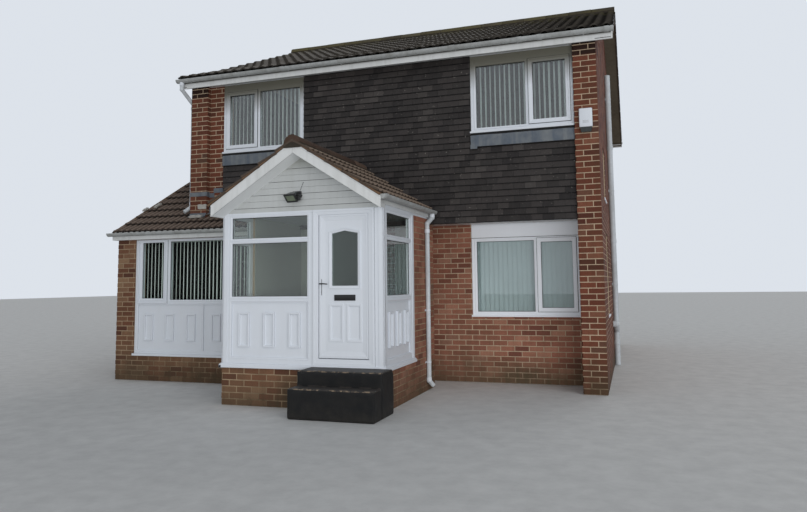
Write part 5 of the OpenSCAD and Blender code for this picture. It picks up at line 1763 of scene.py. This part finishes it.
def gutterFittings():
    use = rainwater
    parts = []
    rim = use["mainRim"]
    runs = [(-use["mainY"] - use["out"], use["frontUnions"], 1),
            (use["mainY"] + 0.0495, use["rearUnions"], -1)]
    for y, unions, side in runs:
        for x in unions:
            parts.append(trough("union", use["union"], 0.070, (x, y, rim)))
        parts.append(trough("stop_end", use["band"], 0.039, (3.6945, y, rim)))
        for step in range(8):
            x = -3.35 + step * use["brackets"]
            parts.append(trough("bracket", use["band"], 0.024, (x, y, rim)))
            face = y + side * 0.050
            parts.append(block("strap", (x - 0.012, min(face, face + side * 0.010), rim - 0.05),
                               (x + 0.012, max(face, face + side * 0.010), rim + 0.006)))
    extRim = extEavesZ - use["drop"]
    for y, left, right in ((extY - 0.110 - use["out"], -4.6, -1.6),
                           (extRearY + 0.110 + use["out"], -4.6, -3.5)):
        x = left
        while x < right:
            parts.append(trough("bracket", use["band"], 0.024, (x, y, extRim)))
            x += use["brackets"]
    porchRim = porchRidgeZ - porchRun[1] * porchSteep - use["drop"]
    x = porchRightX + 0.020 + use["out"]
    for y in (-5.95, -5.1, -4.3):
        parts.append(trough("bracket", use["band"], 0.024, (x, y, porchRim), 90))
    parts.append(trough("union", use["union"], 0.080, (x, -6.19, porchRim), 90))
    fittings = joined("gutter_fittings", parts)
    smooth(fittings, 40)
    finishPiece(fittings, gutterGrey)


def pipeFittings():
    use = rainwater
    radius = use["pipe"]
    parts = []
    for x, y, wall, sockets, clips in (
            (leftX - 0.038, frontY + 0.090, (1, 0), (4.72, 3.02), (4.4, 3.4)),
            (rightX - 0.150, rearY + 0.038, (0, -1), (4.78, 2.6), (4.3, 2.3, 0.6)),
            (porchRightX + 0.038, tileY - 0.255, (-1, 0), (2.36, 0.17), (1.18, 0.42))):
        for z in sockets:
            parts.append(tube("socket", (x, y, z), radius + 0.006, 0.055))
        for z in clips:
            parts.append(tube("clip", (x, y, z), radius + 0.003, 0.022))
            backX = x + wall[0] * (radius + 0.002)
            backY = y + wall[1] * (radius + 0.002)
            wide = 0.060
            size = (0.003 if wall[0] else wide, 0.003 if wall[1] else wide)
            parts.append(block("clip", (backX - size[0], backY - size[1], z - 0.013),
                               (backX + size[0], backY + size[1], z + 0.013), 0.001))
    # the outlets under the gutters
    parts.append(tube("outlet", (leftX - 0.060, -use["mainY"] - use["out"], 5.09), radius + 0.006, 0.060))
    parts.append(tube("outlet", (rightX - 0.150, use["mainY"] + use["out"], 5.09), radius + 0.006, 0.060))
    rim = porchRidgeZ - porchRun[1] * porchSteep - use["drop"]
    parts.append(tube("outlet", (porchRightX + 0.076, -4.075, rim - 0.072), radius + 0.006, 0.050))
    pipes = joined("downpipe_fittings", parts)
    smooth(pipes, 40)
    finishPiece(pipes, plasticWhite)
    radius = use["soil"]
    x = rightX + radius + 0.008
    y = frontY + 3.630
    parts = []
    for z in use["soilCollars"]:
        parts.append(tube("collar", (x, y, z), radius + 0.008, 0.075))
    for z in use["soilClips"]:
        parts.append(tube("clip", (x, y, z), radius + 0.004, 0.030))
        parts.append(block("clip", (rightX - 0.002, y - 0.075, z - 0.016),
                           (rightX + 0.006, y + 0.075, z + 0.016), 0.001))
    parts.append(tube("branch", (x - 0.030, y - 0.260, 0.78), radius + 0.008, 0.045, "X"))
    soil = joined("soil_pipe_fittings", parts)
    smooth(soil, 40)
    finishPiece(soil, pipeGrey)


gutterFittings()
pipeFittings()
print("lead, gutters and pipes fitted")

# Lamp, alarm box, steps and inner doors

lamp = {"middle": (-0.345, -6.085, 2.730), "tilt": 42}


def makeLamp():
    x, y, z = lamp["middle"]
    # the body narrows towards its back, behind a thick front frame
    body = block("lamp_housing", (-0.080, -0.030, -0.058), (0.080, 0.060, 0.058))
    for point in body.data.vertices:
        if point.co.y > 0:
            point.co.x *= 0.62
            point.co.z *= 0.55
    roundEdges(body, 0.006)
    rim = ring("rim", -0.088, 0.088, -0.062, 0.062, 0.024, -0.024, -0.050, 0.003, 0.004)
    glass = block("lamp_glass", (-0.066, -0.0460, -0.040), (0.066, -0.0300, 0.040), 0.001)
    for part in (body, rim, glass):
        part.rotation_euler = (math.radians(lamp["tilt"]), 0, math.radians(-12))
        part.location = (x, y, z)
        settle(part)
    arm = [block("arm", (x + 0.060, y - 0.012, z + 0.004), (x + 0.098, y + 0.100, z + 0.028), 0.003),
           block("base", (x - 0.030, y + 0.060, z - 0.014), (x + 0.090, y + 0.100, z + 0.075), 0.008, 2),
           block("sensor", (x + 0.072, y - 0.022, z - 0.056), (x + 0.114, y + 0.028, z - 0.006), 0.008, 2)]
    # its short lead, clipped to the boards and run in at a joint
    leadIn = block("cable", (-0.0018, -0.0018, 0), (0.0018, 0.0018, 0.145))
    leadIn.rotation_euler = (0, math.radians(24), 0)
    leadIn.location = (x + 0.055, y + 0.097, z + 0.065)
    settle(leadIn)
    finishPiece(leadIn, smokedPlastic)
    piece("floodlight_body", [rim] + arm, blackMetal, stands=("floodlight",))
    finishPiece(body, smokedPlastic)
    finishPiece(glass, lampGlass)


alarm = {
    "low": (rightX - 0.260, frontY - 0.075, 3.790),
    "high": (rightX - 0.075, frontY - 0.002, 4.065),
    "slots": (3.852, 3.866, 3.880),
    "foot": 3.722,
    "taper": 0.82,
}


def makeAlarm():
    low = alarm["low"]
    high = alarm["high"]
    body = block("alarm", low, high, 0.014, 3)
    grey = [block("slot", (low[0] + 0.050, low[1] - 0.001, z), (high[0] - 0.050, low[1] + 0.004, z + 0.004),
                  0.001) for z in alarm["slots"]]
    grey.append(block("lid", (low[0] - 0.002, low[1] + 0.030, 3.800),
                      (high[0] + 0.002, low[1] + 0.034, 4.060), 0.001))
    base = block("alarm_base", (low[0] + 0.006, low[1] + 0.008, alarm["foot"]),
                 (high[0] - 0.006, high[1], low[2] + 0.005))
    middle = (low[0] + high[0]) / 2
    for point in base.data.vertices:
        if point.co.z < low[2] - 0.04:
            point.co.x = middle + (point.co.x - middle) * alarm["taper"]
            if point.co.y < low[1] + 0.02:
                point.co.y += 0.020
    roundEdges(base, 0.006)
    whole = joined("alarm_cover", [body])
    smooth(whole, 40)
    finishPiece(whole, plasticWhite, stands=("alarm_box",))
    piece("alarm_slots", grey, gutterGrey)
    finishPiece(base, smokedPlastic)


def makeSteps():
    for name, seed in (("upper_step", 51), ("lower_step", 52)):
        low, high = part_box(name)
        top = high[2]
        y1 = high[1] - (0.030 if name == "upper_step" else 0.0)
        body = block(name, (low[0] + 0.004, low[1] + 0.004, 0.0), (high[0] - 0.004, y1, top - 0.003))
        roundEdges(body, 0.010)
        parts = [body]
        if name == "upper_step":
            parts.append(block("back", (low[0] + 0.004, y1 - 0.002, 0.0), (high[0] - 0.004, high[1], 0.494)))
        step = joined(name + "_worn", parts)
        applyMod(step, "REMESH", mode="VOXEL", voxel_size=0.016)
        for point in step.data.vertices:
            place = point.co
            offset = noise.noise_vector(place * 9 + Vector((seed, 0, 0))) * 0.0025
            chips = noise.noise(place * 24 + Vector((seed, 0, 0)))
            edge = abs(place.z - top) < 0.02 and (place.y - low[1] < 0.03 or high[0] - place.x < 0.03)
            if edge and chips > 0.1:
                offset += Vector((0, 0.010, -0.010)) * (chips - 0.1) * 2
            if place.z < 0.01 or place.y > y1 - 0.01:
                offset = Vector()
            point.co = place + offset
        smooth(step, 30)
        finishPiece(step, stepPaint, stands=(name,))


def doorPanels(name, origin, turn, width, height):
    # mouldings and glazing bars over the flat sunk parts of the inner and rear doors
    white = []
    dark = []
    x0 = 0.18
    x1 = width - 0.18
    for z0, z1, depth in ((0.9, height - 0.18, 0.020), (0.2, 0.7, 0.012)):
        white.append(around(name, (x0, x1, z0, z1), 0.024, 0.030, 0.004, -0.012, 0.004, 0.010))
        if z0 > 0.5:
            # the glazed part: a dark pane with painted shade
            dark.append(block(name, (x0 + 0.002, depth - 0.006, z0 + 0.002),
                              (x1 - 0.002, depth + 0.004, z1 - 0.002)))
            for z in (z0 + (z1 - z0) * 0.33, z0 + (z1 - z0) * 0.66):
                white.append(block(name, (x0, depth - 0.014, z - 0.011), (x1, depth, z + 0.011), 0.003))
            middle = (x0 + x1) / 2
            white.append(block(name, (middle - 0.011, depth - 0.014, z0), (middle + 0.011, depth, z1), 0.003))
    white.append(ring(name, -0.055, width + 0.055, -0.03, height + 0.055, 0.052, 0.05, -0.018, 0.005, 0.0))
    handle = [block(name, (width - 0.075, -0.008, 0.94), (width - 0.045, 0.002, 1.12), 0.003, 2),
              block(name, (width - 0.155, -0.048, 1.03), (width - 0.050, -0.034, 1.05), 0.004, 2),
              block(name, (width - 0.068, -0.046, 1.032), (width - 0.052, -0.002, 1.048), 0.002)]
    fitted(name + "_mouldings", white, origin, turn, plasticWhite)
    fitted(name + "_panes", dark, origin, turn, paneWithPaintedShade)
    fitted(name + "_handle", handle, origin, turn, blackMetal)


makeLamp()
makeAlarm()
makeSteps()
doorPanels("hall_door", (-1.02, upperY + 0.050, 0.5), 0, 0.9, 1.96)
doorPanels("rear_door", (-1.05, rearY - 0.050, 0.5), 180, 0.9, 2.0)
print("lamp, alarm, steps and doors finished")

# Floor, light and camera

view = {
    "place": (3.838, -13.90, 1.584),
    "yaw": 18.32,
    "pitch": 5.20,
    "roll": -0.67,
    "focal": 673.85,         # in pixels of the photograph's width
    "centre": (408.4, 221.8),
    "frame": (807, 512),
}


def addCamera():
    data = bpy.data.cameras.new("camera")
    camera = bpy.data.objects.new("camera", data)
    bpy.context.scene.collection.objects.link(camera)
    width, height = view["frame"]
    data.sensor_width = 36.0
    data.lens = view["focal"] / width * data.sensor_width
    data.shift_x = (width / 2 - view["centre"][0]) / width
    data.shift_y = (view["centre"][1] - height / 2) / width
    yaw = math.radians(view["yaw"])
    pitch = math.radians(view["pitch"])
    roll = math.radians(view["roll"])
    ahead = Vector((-math.sin(yaw) * math.cos(pitch), math.cos(yaw) * math.cos(pitch), math.sin(pitch)))
    right = Vector((math.cos(yaw), math.sin(yaw), 0))
    up = right.cross(ahead)
    turnedRight = right * math.cos(roll) + up * math.sin(roll)
    turnedUp = up * math.cos(roll) - right * math.sin(roll)
    turn = Matrix((turnedRight, turnedUp, -ahead)).transposed()
    camera.matrix_world = Matrix.Translation(view["place"]) @ turn.to_4x4()
    data.clip_end = 200.0
    bpy.context.scene.camera = camera


def addFloor():
    deselectAll()
    bpy.ops.mesh.primitive_plane_add(size=160, location=(0, 0, -0.002))
    floor = bpy.context.object
    floor.name = "floor"
    floor.data.materials.append(paintedMaterial("floorPale", (232, 232, 230), (224, 224, 222),
                                                0.9, 0.1, 4.0, 0.0, clouds=0.1, runs=0.0))


light = {
    "sky": (0.84, 0.89, 0.96, 1.0),
    "skyLight": 0.28,
    "skySeen": 0.58,       # more of it for the camera and in reflections
    "suns": (("frontLight", 0.62, 62, 42), ("rearLight", 0.6, 62, 170)),
    "softness": 50,
    "panelPlace": (8.0, -19.5, 1.3),
    "panelTurn": 20,
    "panelSize": (22.0, 2.4),
    "panel": 1420,
}


def addLight():
    use = light
    world = bpy.data.worlds.new("sky")
    world.use_nodes = True
    tree = world.node_tree
    back = tree.nodes["Background"]
    back.inputs[0].default_value = use["sky"]
    path = node(tree, "LightPath")
    seen = mathNode(tree, "MAXIMUM", path.outputs["Is Camera Ray"], path.outputs["Is Glossy Ray"])
    level = mathNode(tree, "MULTIPLY_ADD", seen, use["skySeen"], use["skyLight"])
    tree.links.new(level, back.inputs[1])
    bpy.context.scene.world = world
    for name, energy, angle, turn in use["suns"]:
        deselectAll()
        bpy.ops.object.light_add(type="SUN", location=(0, 0, 20))
        sun = bpy.context.object
        sun.name = name
        sun.data.energy = energy
        sun.data.angle = math.radians(use["softness"])
        sun.rotation_euler = (math.radians(angle), 0, math.radians(turn))
    # a wide soft panel low in front reaches under the jetty
    deselectAll()
    bpy.ops.object.light_add(type="AREA", location=use["panelPlace"],
                              rotation=(math.pi / 2, 0, math.radians(use["panelTurn"])))
    low = bpy.context.object
    low.name = "lowPanel"
    low.data.shape = "RECTANGLE"
    low.data.size, low.data.size_y = use["panelSize"]
    low.data.energy = use["panel"]
    low.visible_glossy = False
    low.visible_camera = False
    low.visible_transmission = False
    # it doesn't light the floor, which stands close under it
    unlit = bpy.data.collections.new("unlitByLowPanel")
    unlit.objects.link(bpy.data.objects["floor"])
    unlit.collection_objects[0].light_linking.link_state = "EXCLUDE"
    low.light_linking.receiver_collection = unlit


addCamera()
addFloor()
addLight()
bpy.context.scene.view_settings.view_transform = "Standard"
